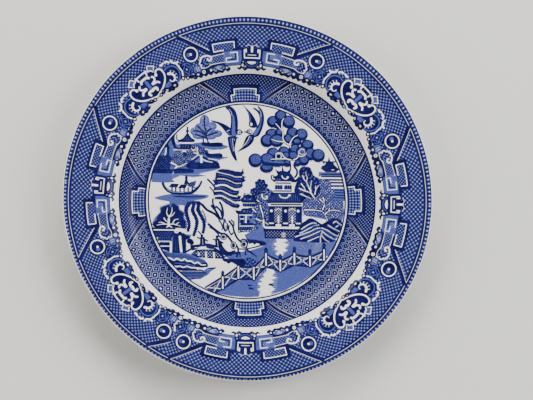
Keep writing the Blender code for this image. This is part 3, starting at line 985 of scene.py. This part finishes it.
fruit_branches = (
    (30.6, 29.2, 28, 29.8, 25.6, 31.4, 24.2, 33.6, 22, 34.2, 19.8, 33.4), (27, 30, 21, 29.8, 16.6, 29.4),
    (32.4, 29.2, 35, 30.6, 36, 33, 35.8, 35.6), (36.4, 31.8, 38.6, 31.8, 40.4, 32.8, 41.6, 34.2),
    (30, 39.6, 26.6, 41.4, 25, 44.6, 25.2, 48.4, 22.8, 51.6, 20, 54.8),
    (25.2, 48, 24.4, 52, 24.4, 56, 25.6, 58.4), (29.6, 39.6, 30.8, 42.6, 32.4, 45, 35.4, 46.8),
    (25.4, 42, 21, 42.4, 17, 43.6), (30, 40, 30.4, 37.8),
)
for branch in fruit_branches:
    line(DARK, 1.5, *branch, end=1.2)
for branch in fruit_branches:
    line(WHITE, 0.95, *branch, end=0.7)
scene.ring(WHITE, 22, 31.6, 1.9, 0.7)
disc(DARK, 22, 31.6, 1.4)
scene.ring(WHITE, 38.4, 35, 1.9, 0.6)

# The temple at the far right, on a stippled bank.
polygon(PALE, 47, 17, 52, 16, 67, 16, 67, 4, 67.4, -8, 66, -14, 58, -13, 40, -10, 38.6, -4, 39, 3, 46, 4)
polygon(
    DARK, 47, 17, 67, 14, 67, -9, 62, -12, 58, -13, 48, -10, 39, -10, 39, 4, 46, 4,
    pattern=spots(1.5, 0.42),
)
polygon(
    WHITE, 47, 17, 66, 14, 67, -9, 62, -12, 58, -13, 48, -10, 39, -9, 40, 4, 46, 4,
    pattern=speckle(1.5, 1.35),
)
polygon(
    DARK, 57.2, 31.6, 58, 28.4, 61.8, 28.6, 60.6, 26.4, 62, 24.8, 64.2, 22.6, 62, 21, 54.6, 21,
    51.6, 23.2, 52, 25, 54, 25.6, 52.4, 28.6, 56.4, 28.4,
)
line(WHITE, 0.8, 52.6, 26.8, 53.8, 26, 54.6, 27.4)
line(WHITE, 0.8, 60.6, 27.4, 61.6, 25.6, 63, 26.4)
line(WHITE, 0.7, 59, 22.4, 60.6, 22.6)
for y, tone, width, start in (
    (20.4, PALE, 0.9, 50.6), (19.4, DARK, 0.8, 51.4), (18.5, PALE, 0.8, 50.6), (17.6, DARK, 0.8, 52),
    (16.6, WHITE, 1.3, 52.6), (15.5, DARK, 0.9, 54), (14.4, WHITE, 0.8, 58), (13.4, DARK, 1.0, 58.6),
    (12.3, WHITE, 1.1, 59), (11.2, DARK, 0.9, 59), (9.8, WHITE, 1.2, 59),
):
    line(tone, width, start, y, 66.6, y)
line(PALE, 0.9, 50.4, 20.6, 50.4, 18)
polygon(PALE, 60.4, 9, 68, 9, 68, 0.6, 61, 1.6)
for y in (8.4, 6.6, 4.8, 3):
    line(DARK, 0.4, 61, y, 68, y - 0.4)

# The dark tree between the temples, with white branches.
area(
    DARK, 40.4, 24.6, 43.6, 24, 45.4, 21, 46.4, 18.4, 49.6, 16.2, 50, 12.6, 51, 9.6, 50, 6, 47, 3.4,
    41, 2.4, 35.4, 3, 33, 6.6, 33.4, 10.2, 34.6, 13.4, 36.4, 17, 36.2, 21.6, 38, 24.2, bite=0.45,
)
area(
    PALE, 40.4, 24, 45, 20, 49, 15, 50, 9, 47, 4, 37, 4, 34.4, 8, 37, 14, 37, 22,
    pattern=speckle(2.6, 0.9),
)
for branch in (
    (46.6, 3, 44.4, 6.6, 42.8, 10.6, 41.5, 14, 41.9, 17, 40.6, 20.6), (44.4, 6.8, 44.2, 10.4, 44.9, 14.4),
    (38.8, 18.2, 39.8, 15.6, 41.6, 13.4), (36.4, 9.2, 40, 7.6, 43.6, 6.2, 46, 4),
    (37.8, 12.4, 39.8, 9.8, 40.8, 7.6), (47.2, 5, 48.2, 9, 50.2, 11.4), (37.6, 5.2, 41.4, 3.4, 44.6, 2.2),
    (48, 8.6, 47.8, 11.4),
):
    line(WHITE, 1.0, *branch, end=0.55)
for branch in (
    (53, 3, 54, -1.6, 53, -4.6, 52.6, -6.6, 54, -9, 55.6, -12, 57.2, -16.8),
    (40, -5.9, 46, -5.9, 52.4, -6.8), (54.2, -9, 56, -7.2, 58.2, -6.2, 62, -6, 65.2, -6.8),
    (50.6, 1.8, 52.4, 0, 53.8, -1), (57, -6.8, 57.4, -4.4),
):
    line(DARK, 1.5, *branch)
    line(WHITE, 1.0, *branch, end=0.7)

# Bushes round the small pavilion.
area(
    PALE, 2.4, 7.6, 5.4, 8.6, 6, 12.8, 8.6, 15.4, 11.6, 14.4, 13.4, 11, 15, 8.4, 18.4, 7, 19.6, 2,
    14.8, -1, 15.4, -18, 4, -18, 1, -10, 2, 0, bite=0.4,
)
area(
    DARK, 2.4, 7.8, 5.6, 8.8, 6.2, 13, 8.8, 15, 12, 14.2, 14, 10.8, 13, 8, 10, 5, 4, 4, bite=0.4,
    pattern=speckle(2.0, -0.5),
)
polygon(DARK, 2, 4, 10, 7, 19, 7, 17, 0, 15, -16, 6, -17, 4, -8, pattern=speckle(2.0, 0.35))
polygon(WHITE, 2, 4, 10, 7, 19, 7, 17, 0, 15, -14, 6, -17, 3, -8, pattern=speckle(1.7, 1.5))
for x, y in ((8.6, 14.8), (11.6, 14.2), (6.4, 12.8), (13.8, 11), (3.4, 7.6), (4.8, 8.4), (14.8, 8)):
    disc(DARK, x, y, 0.9)

# The small pavilion: an upper roof, a dotted frieze, a wide lower roof and a room with posts.
polygon(DARK, -2.2, 5.4, 4, 5.4, 5, 3.8, 8.4, -1, -3.6, -1, -4.4, 1, -2.8, 2.6)
polygon(PALE, -2, 2.4, 3.4, 2.4, 4, 0.4, -2.6, 0.4, pattern=speckle(2.2, -0.4))
line(WHITE, 0.8, -1.4, 4.5, 1, 5.2, 3.2, 4.4)
polygon(DARK, -3, -1, 5.4, -1, 5.4, -4, -3, -4)
polygon(PALE, -2.4, -2, 5, -2, 5, -3.6, -2.4, -3.6, pattern=hatch(90, 1.7, 0.8))
line(WHITE, 0.6, -3, -1.5, 5.6, -1.5)
line(WHITE, 0.7, -2.6, -4.4, 4.6, -4.4)
polygon(DARK, -8.2, -6.6, -4.6, -7, -3, -5.2, 3.4, -5.2, 3.8, -8, 2.2, -9.4, -5.2, -9.6, -7.2, -8.8)
polygon(PALE, -4, -6.4, 2.6, -6.4, 2.4, -8.4, -4.6, -8.4, pattern=speckle(2.4, -0.6))
disc(WHITE, -2.8, -4.6, 0.9)
polygon(PALE, -5.8, -9.6, 3.4, -9.6, 4, -20.6, -6.2, -20.6)
line(WHITE, 0.7, -5.4, -9.9, 3, -9.9)
for x, y, r in ((-3.4, -11.2, 1.0), (-3.4, -14.3, 1.15), (0.9, -14.4, 1.05), (2.6, -11.6, 0.8)):
    disc(DARK, x, y, r)
line(DARK, 0.7, -5.9, -9.8, -5.9, -20.4)
line(WHITE, 1.0, -0.6, -10.6, -0.7, -15.2)
line(WHITE, 0.7, -4.4, -12.7, -2.2, -12.7)
line(DARK, 0.6, -5.4, -15.9, 4, -15.9)
line(WHITE, 1.3, -4.8, -16.4, -4.8, -17)
line(DARK, 0.7, -5, -16.9, 6, -16.7)
line(WHITE, 0.6, -5, -17.7, 5, -17.5)
polygon(DARK, -6.2, -18.2, 8, -18, 8, -21, -6.2, -22.4, pattern=speckle(1.6, -0.2))
polygon(PALE, -1.6, -24, 4, -20.6, 9, -19.4, 12.4, -20, 12.4, -28.6, 0, -27.2)

# The main temple: plinth, steps, hall with columns and chequered screens, and two roofs with horned eaves.
polygon(DARK, 12.4, -19.6, 39, -19.8, 38, -21.4, 34, -26, 12.4, -26)
dotted(1.5, 0.5, 0.26, 13, -20.4, 36.6, -20.4, 33, -25.6, 13, -25.6)
for y in (-22.4, -23.6, -24.9):
    line(WHITE, 0.7, 24.2, y, 26.6, y)
polygon(DARK, 15, -1, 38, -1, 38, -17.8, 14.4, -17.8)
line(WHITE, 0.65, 16.4, -1.6, 38, -1.5)
line(WHITE, 0.8, 16.4, -3.1, 38, -3)
disc(WHITE, 15.5, -2.5, 1.1)
for x in (21.8, 31.4):
    dotted(1.35, 0.6, 0.32, x - 2.9, -4.4, x + 2.9, -4.4, x + 2.9, -15.2, x - 2.9, -15.2)
    line(WHITE, 0.7, x - 2.2, -6.4, x, -5.2, x + 2.2, -6.4)
    line(WHITE, 1.2, x + 0.1, -10.4, x + 0.1, -15.2)
for x in (17, 26.8, 35.6):
    disc(WHITE, x, -6.8, 1.05)
    line(WHITE, 1.1, x - 1.3, -15.5, x + 1.3, -15.5)
for x in (21.9, 31.2):
    polygon(WHITE, x - 2, -16, x + 2, -16, x + 2, -17.9, x - 2, -17.9)
line(PALE, 0.8, 38.2, -3.6, 38.2, -18)
line(PALE, 0.7, 15, -4.2, 15, -15)
line(DARK, 1.9, 12.4, -20, 37.4, -20)
polygon(DARK, 9.4, 5, 12.6, 0.6, 15, 2.2, 17.4, 6, 34.4, 6.2, 38, 3.4, 40.4, 2.6, 38.4, -1, 15, -1)
polygon(PALE, 14, 1, 20, 5.4, 34, 5.4, 38, 0, 15, -0.4, pattern=hatch(90, 1.35, 0.6))
polygon(PALE, 19.4, 11, 31.2, 11, 31.2, 6.4, 19.4, 6.4)
polygon(DARK, 19.6, 11.4, 24.6, 11.4, 24.6, 8.4, 19.6, 8.4, pattern=hatch(90, 1.7, 1.0))
polygon(DARK, 26.2, 11.4, 31, 11.4, 31, 8.4, 26.2, 8.4, pattern=hatch(90, 1.7, 1.0))
line(WHITE, 0.8, 25.3, 11.2, 25.3, 8.6)
line(WHITE, 0.75, 19, 8.0, 30.4, 8.0)
line(DARK, 0.8, 19, 7.2, 30.4, 7.2)
line(WHITE, 0.8, 18.6, 6.4, 31, 6.4)
line(WHITE, 1.2, 10.4, 4.6, 10.8, 2.6, 12.6, 1.4, 14.4, 1.8, end=0.7)
disc(WHITE, 13.8, 3, 1.0, 0.8)
line(WHITE, 0.9, 22.6, 4.4, 23.8, 2.8, 27.4, 2.4, 29.6, 4.2)
disc(WHITE, 29.6, 4.2, 0.9)
polygon(
    DARK, 19.4, 22.6, 22, 21, 24.2, 21.4, 24.7, 25.4, 25.6, 21.4, 28, 20.8, 30, 22.6, 30, 20, 31.4, 18.4,
    33.6, 15, 36.2, 17.6, 36, 14.6, 34, 13.4, 19, 13.4, 16.6, 15.6, 16.4, 18, 18, 18.6, 19.6, 17.4,
    21.4, 18.6, 20.6, 20.6, bite=0.12,
)
line(WHITE, 0.9, 17.8, 17.6, 17.9, 16, 19, 15.6)
line(WHITE, 0.9, 24.3, 17.8, 25.2, 16.3, 27.4, 15.8, 28.9, 17)
disc(WHITE, 28.3, 16.9, 0.8)
area(PALE, 20, 16, 24, 15.6, 24, 14.4, 19.4, 14.4, pattern=speckle(1.7, -0.3))
line(WHITE, 1.1, 19.4, 12.3, 20.2, 13.5, 30.6, 13.5, 31.2, 12.2, 19.6, 12, bent=False)
line(DARK, 0.8, 20.4, 12.8, 30.2, 12.8)
line(WHITE, 0.8, 19.6, 11.8, 31, 11.8)
polygon(WHITE, 31.8, 12.6, 33.6, 12.8, 33, 9.4, 31.9, 6.8)

# The white-stemmed tree between pavilion and temple, and the terrace edge that it grows from.
for branch in (
    (7.2, 0.6, 8.6, -0.6), (9.2, -3, 9.8, -5.8, 10.8, -8.4, 11.2, -11, 11.6, -13.8),
    (6.4, -12.4, 9, -13.7, 11.4, -13.6), (11.4, -12.6, 13, -15, 14.8, -16.4), (4, -5.6, 6.4, -8),
):
    line(DARK, 1.7, *branch)
    line(WHITE, 1.05, *branch, end=0.8)
line(DARK, 2.2, 11.6, -13.6, 11.8, -17, 13, -18.8, bent=False)
line(WHITE, 1.4, 11.5, -13.4, 11.6, -17.4, 13, -18.7, 37, -18.8, bent=False)

# The striped rocks on the right.
polygon(
    WHITE, 38.4, -9.8, 40.8, -9.6, 41.4, -11.8, 44, -11.4, 46, -10.6, 48, -12.6, 50.6, -11.8, 52.4, -12.8,
    52.4, -16, 38.4, -17,
)
area(
    DARK, 38, -16, 40.5, -13.8, 43.3, -11.9, 45.6, -12, 47.6, -12.9, 50, -14.6, 52, -15.8, 54, -14.8,
    56.4, -13.4, 60.4, -11.6, 64, -12.4, 66, -14.4, 65.4, -19, 62, -25, 58, -28.4, 36, -28, 32.6, -26,
)
for stripe in (
    (38, -19.4, 42, -16.6, 45.6, -15, 48.4, -15.2), (37, -22.2, 42, -19.6, 46.6, -17, 50, -16.4),
    (33.8, -24.8, 38.6, -23, 43.6, -21.2, 48.4, -18.8, 52, -18.4),
    (37.4, -26.2, 43, -24.2, 48.4, -21.8, 51.6, -20.2), (42.6, -27.8, 46.6, -26, 50.2, -24.4),
    (52, -18.4, 56, -20, 60, -22.6, 64, -24.4), (52, -20.4, 55, -23, 59, -25.4, 62, -26.6),
    (52.2, -23.8, 54.6, -26.6, 57.2, -28.2), (51.2, -28.6, 51.2, -25, 52.2, -21.6),
    (56.4, -16.4, 60.4, -18.8, 65, -21), (60.2, -14.8, 62, -13.6, 63.8, -15, 66, -16.6),
    (62, -17.6, 63.4, -16.6),
):
    line(PALE, 1.3, *[n - 0.3 for n in stripe], bite=0.3)
    line(WHITE, 0.7, *stripe, end=0.45, bite=0.12)
for stripe in (
    (39, -20.6, 44, -17.8, 49, -16.8), (38, -24.4, 44, -22.4, 50, -19.6), (42, -26, 47, -24.2, 51, -22.2),
    (53, -19.6, 58, -22.6, 63, -25.6), (54, -21.4, 58, -24, 61, -26),
):
    line(PALE, 0.6, *stripe)

# The willow: combed fronds to the right of its bough, and three hanging to the left.
polygon(
    DARK, -21.4, 20.6, -18, 22.4, -13, 22, -8, 20.8, -4, 20.4, -2.8, 22.6, -2, 19.4, -3.6, 18, -0.8, 17,
    -2, 15.4, -0.8, 14.2, -3.4, 12.6, -2.6, 10.6, -4.4, 8.8, -9, 8.6, -5.4, 8, -5.6, 5, -7, 4, -4, 3.2,
    -4.6, 1, -4, -0.6, -8, -0.6, -4.6, -3.4, -6, -5.2, -9.4, -5, -14, -2.4, -18, 0.6, -22, 1, -23.4, 5,
    -22.8, 9, -22.4, 14, bite=0.5,
)
for gap, width in (
    ((-21, 20.2, -16, 19, -12, 18.2, -8, 16.8, -3.6, 16.8), 0.75),
    ((-20.6, 15.4, -15.4, 15.2, -11, 13.6, -7.6, 12.2, -4.4, 12.4), 0.7),
    ((-22, 10, -18.6, 11, -15, 10.9, -11.4, 9.2, -8, 7.8, -4.4, 8.2), 1.3),
    ((-22.6, 6.6, -18, 6.9, -14.4, 5.4, -11, 3.8, -7, 3), 0.9),
    ((-23, 3, -18, 3.4, -14.4, 1.8, -11, 0, -8, -1.4, -4.2, -0.9), 1.1),
):
    line(WHITE, width, *gap, bite=0.3)
for gap in (
    (-20, 18, -14, 17.2, -9, 15, -4, 15), (-20, 13.2, -15, 13, -9, 10.6, -5, 10.4),
    (-21, 8.8, -16, 8.8, -11, 6, -7, 5.6), (-21, 4.8, -15, 3.8, -10, 1, -5, 1),
    (-17, 1.4, -12, -1.6, -7, -3.2),
):
    line(PALE, 0.7, *gap, bite=0.2)
line(DARK, 1.1, -27.2, 14.8, -24.6, 12.2, -22.4, 9.6)
line(DARK, 0.8, -25.8, 9.4, -24, 7.4, -22.6, 5)
line(DARK, 0.8, -23.4, 14.4, -21.8, 11.6)
line(DARK, 1.7, -40.8, -3.4, -38.4, -1.6, -35, -1.2, -32.4, -2, -30.6, -3.2, end=1.2)
for frond in (
    (-40.4, -2.4, -42, -5.4, -42, -9.4, -40.6, -14, -40, -17.4, -40.8, -21.2),
    (-37, -2.2, -37.6, -7, -35.8, -11, -34.6, -15, -35.4, -20, -36.8, -24.2),
    (-33.6, -2, -34, -6.2, -32.2, -10, -30.2, -14, -29.6, -18, -30.4, -22.4),
):
    line(PALE, 3.4, *frond, end=2.2, bite=0.55)
    line(DARK, 2.7, *frond, end=1.7, bite=0.5)
    line(PALE, 0.4, *frond, pattern=speckle(1.6, 0.2))
for gap in (
    (-38.4, -3.2, -39.6, -7, -38.6, -11, -37.6, -15, -38.4, -19.4),
    (-35, -3.4, -35.9, -7, -34, -11, -32.6, -14.4, -32.4, -19),
):
    line(WHITE, 0.85, *gap)
line(PALE, 1.0, -41.2, -0.4, -43.4, -3.6)
line(PALE, 0.9, -30.8, -7, -29, -11, -28.2, -15)

# The willow's bare trunk, limbs, knots and roots.
polygon(
    WHITE, -22, -1, -16.4, -1.4, -15.6, -12.6, -12.6, -16, -9.4, -13, -7.4, -20, -5, -27, 1, -28, 10, -30,
    4, -34, -6, -35, -14, -37, -21, -34, -17, -28, -18, -24, -26.4, -17, -19.4, -12.8,
)
for stroke, start, end in (
    ((-30.8, -3.2, -27.6, -6.6, -22.6, -9.2, -19.4, -12.2, -17.4, -12.8, -16.5, -9, -17.4, -4,
      -18.8, -1.2), 1.6, 1.3),
    ((-24.4, -3.8, -21.8, -7, -18.6, -12.4), 1.6, 1.2), ((-21.2, -4.2, -18.4, -7, -17.2, -11), 1.2, 1.1),
    ((-23.6, 1, -23.6, -2, -22, -5.4), 1.2, 1.0),
    ((-26.6, -16.6, -22.6, -20, -18.4, -22.8, -15, -23.4, -12.6, -25.6, -10.4, -28.6, -7, -31.6, -6, -35,
      -7, -39), 1.5, 1.1),
    ((-25.6, -18.8, -23, -20.4, -20.2, -23.2, -19, -25.4), 0.9, 0.7),
    ((-19.6, -12.8, -17.8, -16, -16.8, -19, -17.4, -20.4), 0.9, 0.6),
    ((-15.6, -13, -16.2, -17.6, -15.2, -21.2, -13.8, -20, -13.6, -16), 1.0, 0.8),
    ((-12.4, -17.4, -12.6, -20.4, -10.8, -23.8, -9.8, -22.6), 0.9, 0.8),
    ((-12.2, -14.4, -9.8, -17.8, -8.8, -21.6, -6.8, -26, -4.4, -28.6), 1.2, 1.2),
    ((-10.8, -13.6, -9, -15.6, -9.4, -18), 0.9, 0.9),
    ((-4.6, -28.4, -3, -27, -0.8, -27.4, 0.4, -29.6, -0.4, -33), 1.0, 0.9),
    ((-18.6, -28.6, -16.8, -32.8, -13, -36.2, -8.6, -35), 1.3, 0.9),
    ((-6, -33.6, -2, -33.8, 3, -33, 9, -31.4), 0.8, 0.8), ((-5, -36, -4.6, -39), 0.9, 0.5),
    ((0, -34.4, 3, -36.2, 6.6, -39), 1.3, 0.5), ((-1.2, -35, -0.8, -38), 0.9, 0.4),
):
    line(DARK, start, *stroke, end=end)
for x, y, rx, ry in ((-16.2, -25.4, 2.3, 2.1), (-9.2, -31.2, 2.1, 2.6), (-2, -30.4, 2.4, 2.4)):
    disc(DARK, x, y, rx, ry)
    disc(WHITE, x, y, rx - 0.45, ry - 0.45)
    disc(DARK, x - 0.1, y, rx - 1.05, ry - 1.05)
line(PALE, 1.0, -19.4, -14.4, -18.4, -13.2, -15.2, -13.4, -14.6, -15.6)
area(PALE, -15, -17.6, -14, -17.6, -14.2, -21, -15.4, -21, pattern=hatch(90, 1.0, 0.5))
area(
    DARK, -19.6, -31, -19, -34.4, -14.6, -38.4, -9, -37.4, -5, -36.4, -9, -35.4, -13.6, -36, -17, -33.4,
    -18.2, -29,
)
area(
    DARK, -1.4, -23.4, 0.6, -26.6, 6, -27.4, 12.6, -28.8, 12.6, -30.8, 9.6, -31.4, 8.4, -30, 6.6, -29.6,
    5.4, -30.6, 4, -29.4, 2, -30, 0.6, -28, bite=0.15,
)

# The shore behind the trunk's foot.
area(
    DARK, -16.6, -40.4, -10, -40.8, -2, -41, -1, -44.6, -4, -45.6, -8, -44.4, -10.6, -43, -12.6, -44,
    -14.6, -42.8, -16, -42.4, bite=0.2,
)
area(DARK, 0, -40, 6, -41, 8, -44, 5, -46, 0, -45, pattern=speckle(2.2, 0.2))

# The leafy tree over the house on the left.
area(
    PALE, -51, -1.6, -56, -3, -60.4, -5, -60.4, -8.4, -63, -11.4, -65.6, -16.4, -62, -20, -48, -19.6,
    -41.8, -20, -41.4, -15, -43.4, -11.6, -42.8, -8.8, -46.4, -6.2, -47, -3.8, bite=0.8,
)
polygon(
    DARK, -51, -2.2, -55, -3.6, -59.6, -5.4, -59.4, -8.4, -62, -11.4, -62.2, -14, -65.4, -16.4,
    -64, -19.6, -57, -20.4, -48, -19.2, -42.6, -20, -42.4, -15, -44.4, -12, -43.6, -9.4, -47, -7,
    -47.6, -4.6, bite=0.6,
)
for branch in (
    (-54, -11, -54.2, -17.4), (-54.4, -17, -58, -16.8, -62.4, -17.6),
    (-57, -16.6, -59, -15.6, -61.2, -15.6), (-53.8, -17, -50.4, -16.8, -46, -18.2),
    (-51.4, -16.2, -50, -13.8, -47.4, -13.2), (-49.4, -17.2, -47, -15.4),
    (-54, -12, -55.6, -9, -55, -5.4), (-54, -12, -52.2, -8.6, -51.8, -5),
    (-53.6, -11.6, -51.4, -10.4, -50, -8.4), (-54.6, -17.8, -56, -20), (-53.8, -17.8, -50.6, -20.2),
    (-57.4, -12.6, -56, -14.6, -54.6, -15.6),
):
    line(WHITE, 1.05, *branch, end=0.6)
line(WHITE, 1.7, -54.1, -13, -54.2, -18)
line(PALE, 1.6, -53, -4.2, -52.8, -0.6)

# The house: a hatched roof, a fringe, a wall with windows, and a tall gate.
polygon(PALE, -62.6, -22, -38.4, -24, -42.6, -37, -52, -37, -59, -34)
polygon(DARK, -66, -21.4, -50, -21.4, -51.8, -26, -63.4, -26)
polygon(PALE, -64, -22.2, -51, -22.2, -52.6, -25.8, -62.6, -25.8, pattern=hatch(52, 1.5, 0.55))
line(DARK, 1.0, -65.6, -20, -50, -20)
line(WHITE, 1.0, -64.8, -20.9, -50.6, -20.9)
for x in np.arange(-62.6, -52, 1.6):
    disc(DARK, x, -27.4, 0.55, 1.0)
line(WHITE, 0.6, -62, -28.8, -52.8, -28.8)
polygon(DARK, -60.8, -29.9, -53.4, -29.9, -53.4, -31.6, -60, -31.6)
polygon(DARK, -59.6, -32.8, -53.4, -32.8, -53.4, -35.8, -58.4, -34.4)
line(WHITE, 0.7, -60.6, -32.2, -53.4, -32.2)
line(WHITE, 1.5, -52.6, -29.6, -52.6, -36.2)
polygon(
    DARK, -50.6, -22, -44, -22, -42.4, -24.6, -40, -25.2, -39.6, -26, -42.4, -27.4, -42.6, -37,
    -51.4, -37,
)
polygon(PALE, -50.4, -27, -47.8, -27, -47.8, -36, -50.4, -36, pattern=hatch(90, 1.3, 0.5))
line(WHITE, 1.9, -46.4, -25.6, -45.4, -35.8)
line(WHITE, 1.1, -50.2, -21, -49.4, -22.6, -47.8, -22.4)
line(WHITE, 0.9, -47.4, -20.4, -45.8, -20, -45, -21.4)
disc(WHITE, -44.4, -22.2, 0.9)
polygon(WHITE, -42, -27.6, -38.6, -27.4, -36.8, -31, -36.6, -34, -41.8, -35.6)
disc(DARK, -39.4, -28.6, 2.1, 1.7)
disc(DARK, -38.2, -29.6, 1.5)
line(DARK, 0.8, -38.8, -31, -38.6, -33.4)
line(DARK, 1.2, -42, -36, -39.6, -34.6, -37, -33.4)

# The rocky shore: pale banks with scalloped white edges over dark shadows, and ripples below.
polygon(
    PALE, -61, -34.2, -56, -35.6, -52, -36.8, -42, -36.8, -38, -38, -33, -40, -29.4, -41.4, -27.2, -44,
    -29, -45.6, -40, -44.4, -54, -42, -59, -38.5,
)
polygon(
    DARK, -56, -41.6, -50, -42, -40, -43.2, -34, -44.6, -28.4, -43.4, -27, -44.4, -27, -46.4, -31, -47,
    -38, -46.4, -46, -45.8, -52.6, -45.2,
)
line(
    WHITE, 0.95, -57, -40.2, -53.6, -40.2, -50.6, -42, -48.2, -40.8, -45.2, -42.3, -43, -41, -41, -42.6,
    -38.6, -42.4, -36.2, -44.2, -34, -43.2, -31.6, -45, -28.6, -45,
)
line(PALE, 0.8, -50, -43.9, -42, -44.6, -36, -45.8)
area(
    DARK, -59, -36, -50, -38, -42, -38.4, -31, -42, -30, -43.6, -38, -41.6, -46, -40.2, -56, -39.6,
    pattern=speckle(1.1, 1.1),
)
polygon(DARK, -51, -46, -46, -46.6, -38, -47.4, -31, -48.4, -29.6, -49.2, -44, -49.3, -49, -48.6)
line(PALE, 1.4, -50.6, -46.4, -44, -46.6, -37, -47)
line(
    WHITE, 0.85, -52.4, -45.4, -49, -46.4, -46, -46, -44, -47, -41.4, -46, -38.2, -47.2, -36, -46.9,
    -33.6, -48.3,
)
polygon(
    PALE, -47, -49.6, -31, -49.6, -27, -47, -20.8, -46.4, -21.6, -47.4, -25, -49.6, -27, -52,
    -30.4, -53.8, -31.6, -54.8, -36, -55, -40.4, -56.2, -44.6, -53,
)
for y, start, end in (
    (-47.4, -26, -22), (-50.2, -46, -28), (-51.4, -45, -28), (-52.8, -43, -30), (-54.4, -38, -32),
):
    line(DARK, 0.4, start, y, end, y)

# The footbridge on three arches, with three figures crossing it.
polygon(
    DARK, -38.6, -37.6, -35.4, -34.6, -30, -34.2, -23, -34.4, -18, -36.8, -15, -39.4, -16, -40.6,
    -22, -40.6, -31, -40, -34.6, -39.6,
)
dotted(
    1.5, 0.6, 0.28, -38, -37.6, -35.4, -35.4, -30, -34.8, -23, -35, -18, -37.4, -16, -39.6, -22, -39.8,
    -31, -39.4,
)
line(WHITE, 1.1, -33.4, -36.8, -33.2, -38.4)
line(WHITE, 1.4, -28.4, -36.4, -28, -40.6)
line(WHITE, 1.3, -22.8, -36.6, -22.6, -40.6)
polygon(WHITE, -26.8, -40.4, -23.4, -40.4, -23.8, -42, -27, -42)
line(DARK, 1.7, -22, -34, -18.6, -36, -15, -37.6, -11, -38, end=1.0)
line(DARK, 2.2, -37.4, -32.4, -34, -31.8, -30.6, -31.2, end=1.6)
area(DARK, -35, -32, -30.4, -31.2, -27, -33.4, -23, -33.8, -23, -32.6, -28, -32.2)
line(DARK, 2.0, -27.6, -31, -24.6, -31.4, -21.8, -32, end=1.4)
line(DARK, 0.9, -37.4, -34.6, -34, -33.2)
line(WHITE, 0.6, -36, -33, -32, -33.4)
disc(DARK, -31.2, -24.8, 0.9)
polygon(DARK, -32.2, -25.8, -29.4, -25.6, -28.2, -31.6, -32.6, -31.6)
line(DARK, 0.9, -31.8, -26.8, -34.2, -26)
line(DARK, 0.9, -29.6, -27, -27.2, -28.4)
line(DARK, 0.8, -33.6, -21.6, -31.6, -24)
line(WHITE, 0.5, -30.8, -27, -30.4, -31)
disc(DARK, -20.7, -25.4, 1.0)
polygon(DARK, -22, -26.6, -19, -26.6, -18.4, -32.8, -21.8, -32.8)
line(DARK, 0.9, -19.4, -28, -16.6, -29.6)
line(DARK, 0.7, -21.6, -28, -23.4, -27)
line(WHITE, 0.5, -20.4, -28, -20, -32)


def panel(low_start, low_end, high_start, high_end):
    """A fence panel between its bottom rail and its top rail: a white cross before dark openings."""
    corners = (*high_start, *high_end, *low_end, *low_start)
    polygon(DARK, *corners)
    polygon(PALE, *corners, pattern=hatch(35, 1.9, 0.8))
    line(WHITE, 0.75, *high_start, *low_end)
    line(WHITE, 0.75, *low_start, *high_end)
    middle = np.mean(np.reshape(corners, (4, 2)), axis=0)
    disc(WHITE, *middle, 1.1, 0.8)
    disc(DARK, *middle, 0.5)
    line(WHITE, 0.5, high_start[0], high_start[1] - 1.3, high_end[0], high_end[1] - 1.3)
    line(DARK, 0.9, *high_start, *high_end)
    line(DARK, 0.9, *low_start, *low_end)


# The zigzag fence along the path: panels with crosses between white posts with finials.
panel((-23.4, -65), (-16.8, -61.6), (-28.6, -60.6), (-16.8, -53.2))
panel((-16.8, -61.6), (-6, -55), (-16, -53), (-6, -46))
panel((-6, -55), (5, -54.7), (-6, -46), (4.4, -46.4))
panel((5.2, -54.8), (13.2, -46), (5, -46.6), (12.8, -38.4))
panel((13.8, -45.8), (23, -49.2), (13.8, -37.6), (22.6, -41.6))
panel((23.6, -49.2), (33, -44.6), (23.6, -41.8), (32.4, -37.4))
panel((33.2, -44.6), (43.8, -45.8), (33.4, -37.4), (43.2, -38.8))
panel((44, -45.8), (53.6, -41.4), (44.2, -38.8), (53.2, -34.8))
for x, y, length, finial in (
    (-16.7, -53.4, 7.8, 2.7), (-5.9, -46, 8, 0), (4.7, -46.6, 8, 0), (13.2, -36.8, 8, 2.4),
    (23.1, -41.4, 7.2, 2.8), (32.9, -36.4, 7.6, 2.8), (43.7, -38.4, 6.8, 3.2), (53.5, -33.8, 7.2, 2.8),
):
    line(DARK, 2.5, x, y, x + 0.1, y - length, bent=False)
    line(WHITE, 1.25, x, y, x + 0.1, y - length, bent=False)
    if finial:
        disc(DARK, x, y + finial, 1.1, 1.6)
        disc(DARK, x, y + 0.9, 1.1, 0.5)
        disc(PALE, x, y + finial, 0.4, 0.7)

# A thin dark line rings the landscape.
scene.ring(DARK, 0, 0, 68.35, 0.8)

# The film, in four quarters that meet on the plate's axes. The tissue shrank a little as it dried, and was
# laid slightly low.
PULLED = 0.995
LAID_LOW = 0.3
for name, rows, columns in (
    ("lower_left", slice(0, MIDDLE + 1), slice(0, MIDDLE + 1)),
    ("upper_left", slice(0, MIDDLE + 1), slice(MIDDLE, None)),
    ("lower_right", slice(MIDDLE, None), slice(0, MIDDLE + 1)),
    ("upper_right", slice(MIDDLE, None), slice(MIDDLE, None)),
):
    film(
        "scene_print_" + name, scene_x[rows, columns] * PULLED, scene_y[rows, columns] * PULLED - LAID_LOW,
        scene.dark.reshape(scene.shape)[rows, columns], scene.pale.reshape(scene.shape)[rows, columns],
        "scene_print", (-1, PULLED * SCENE_RADIUS + 0.2),
    )
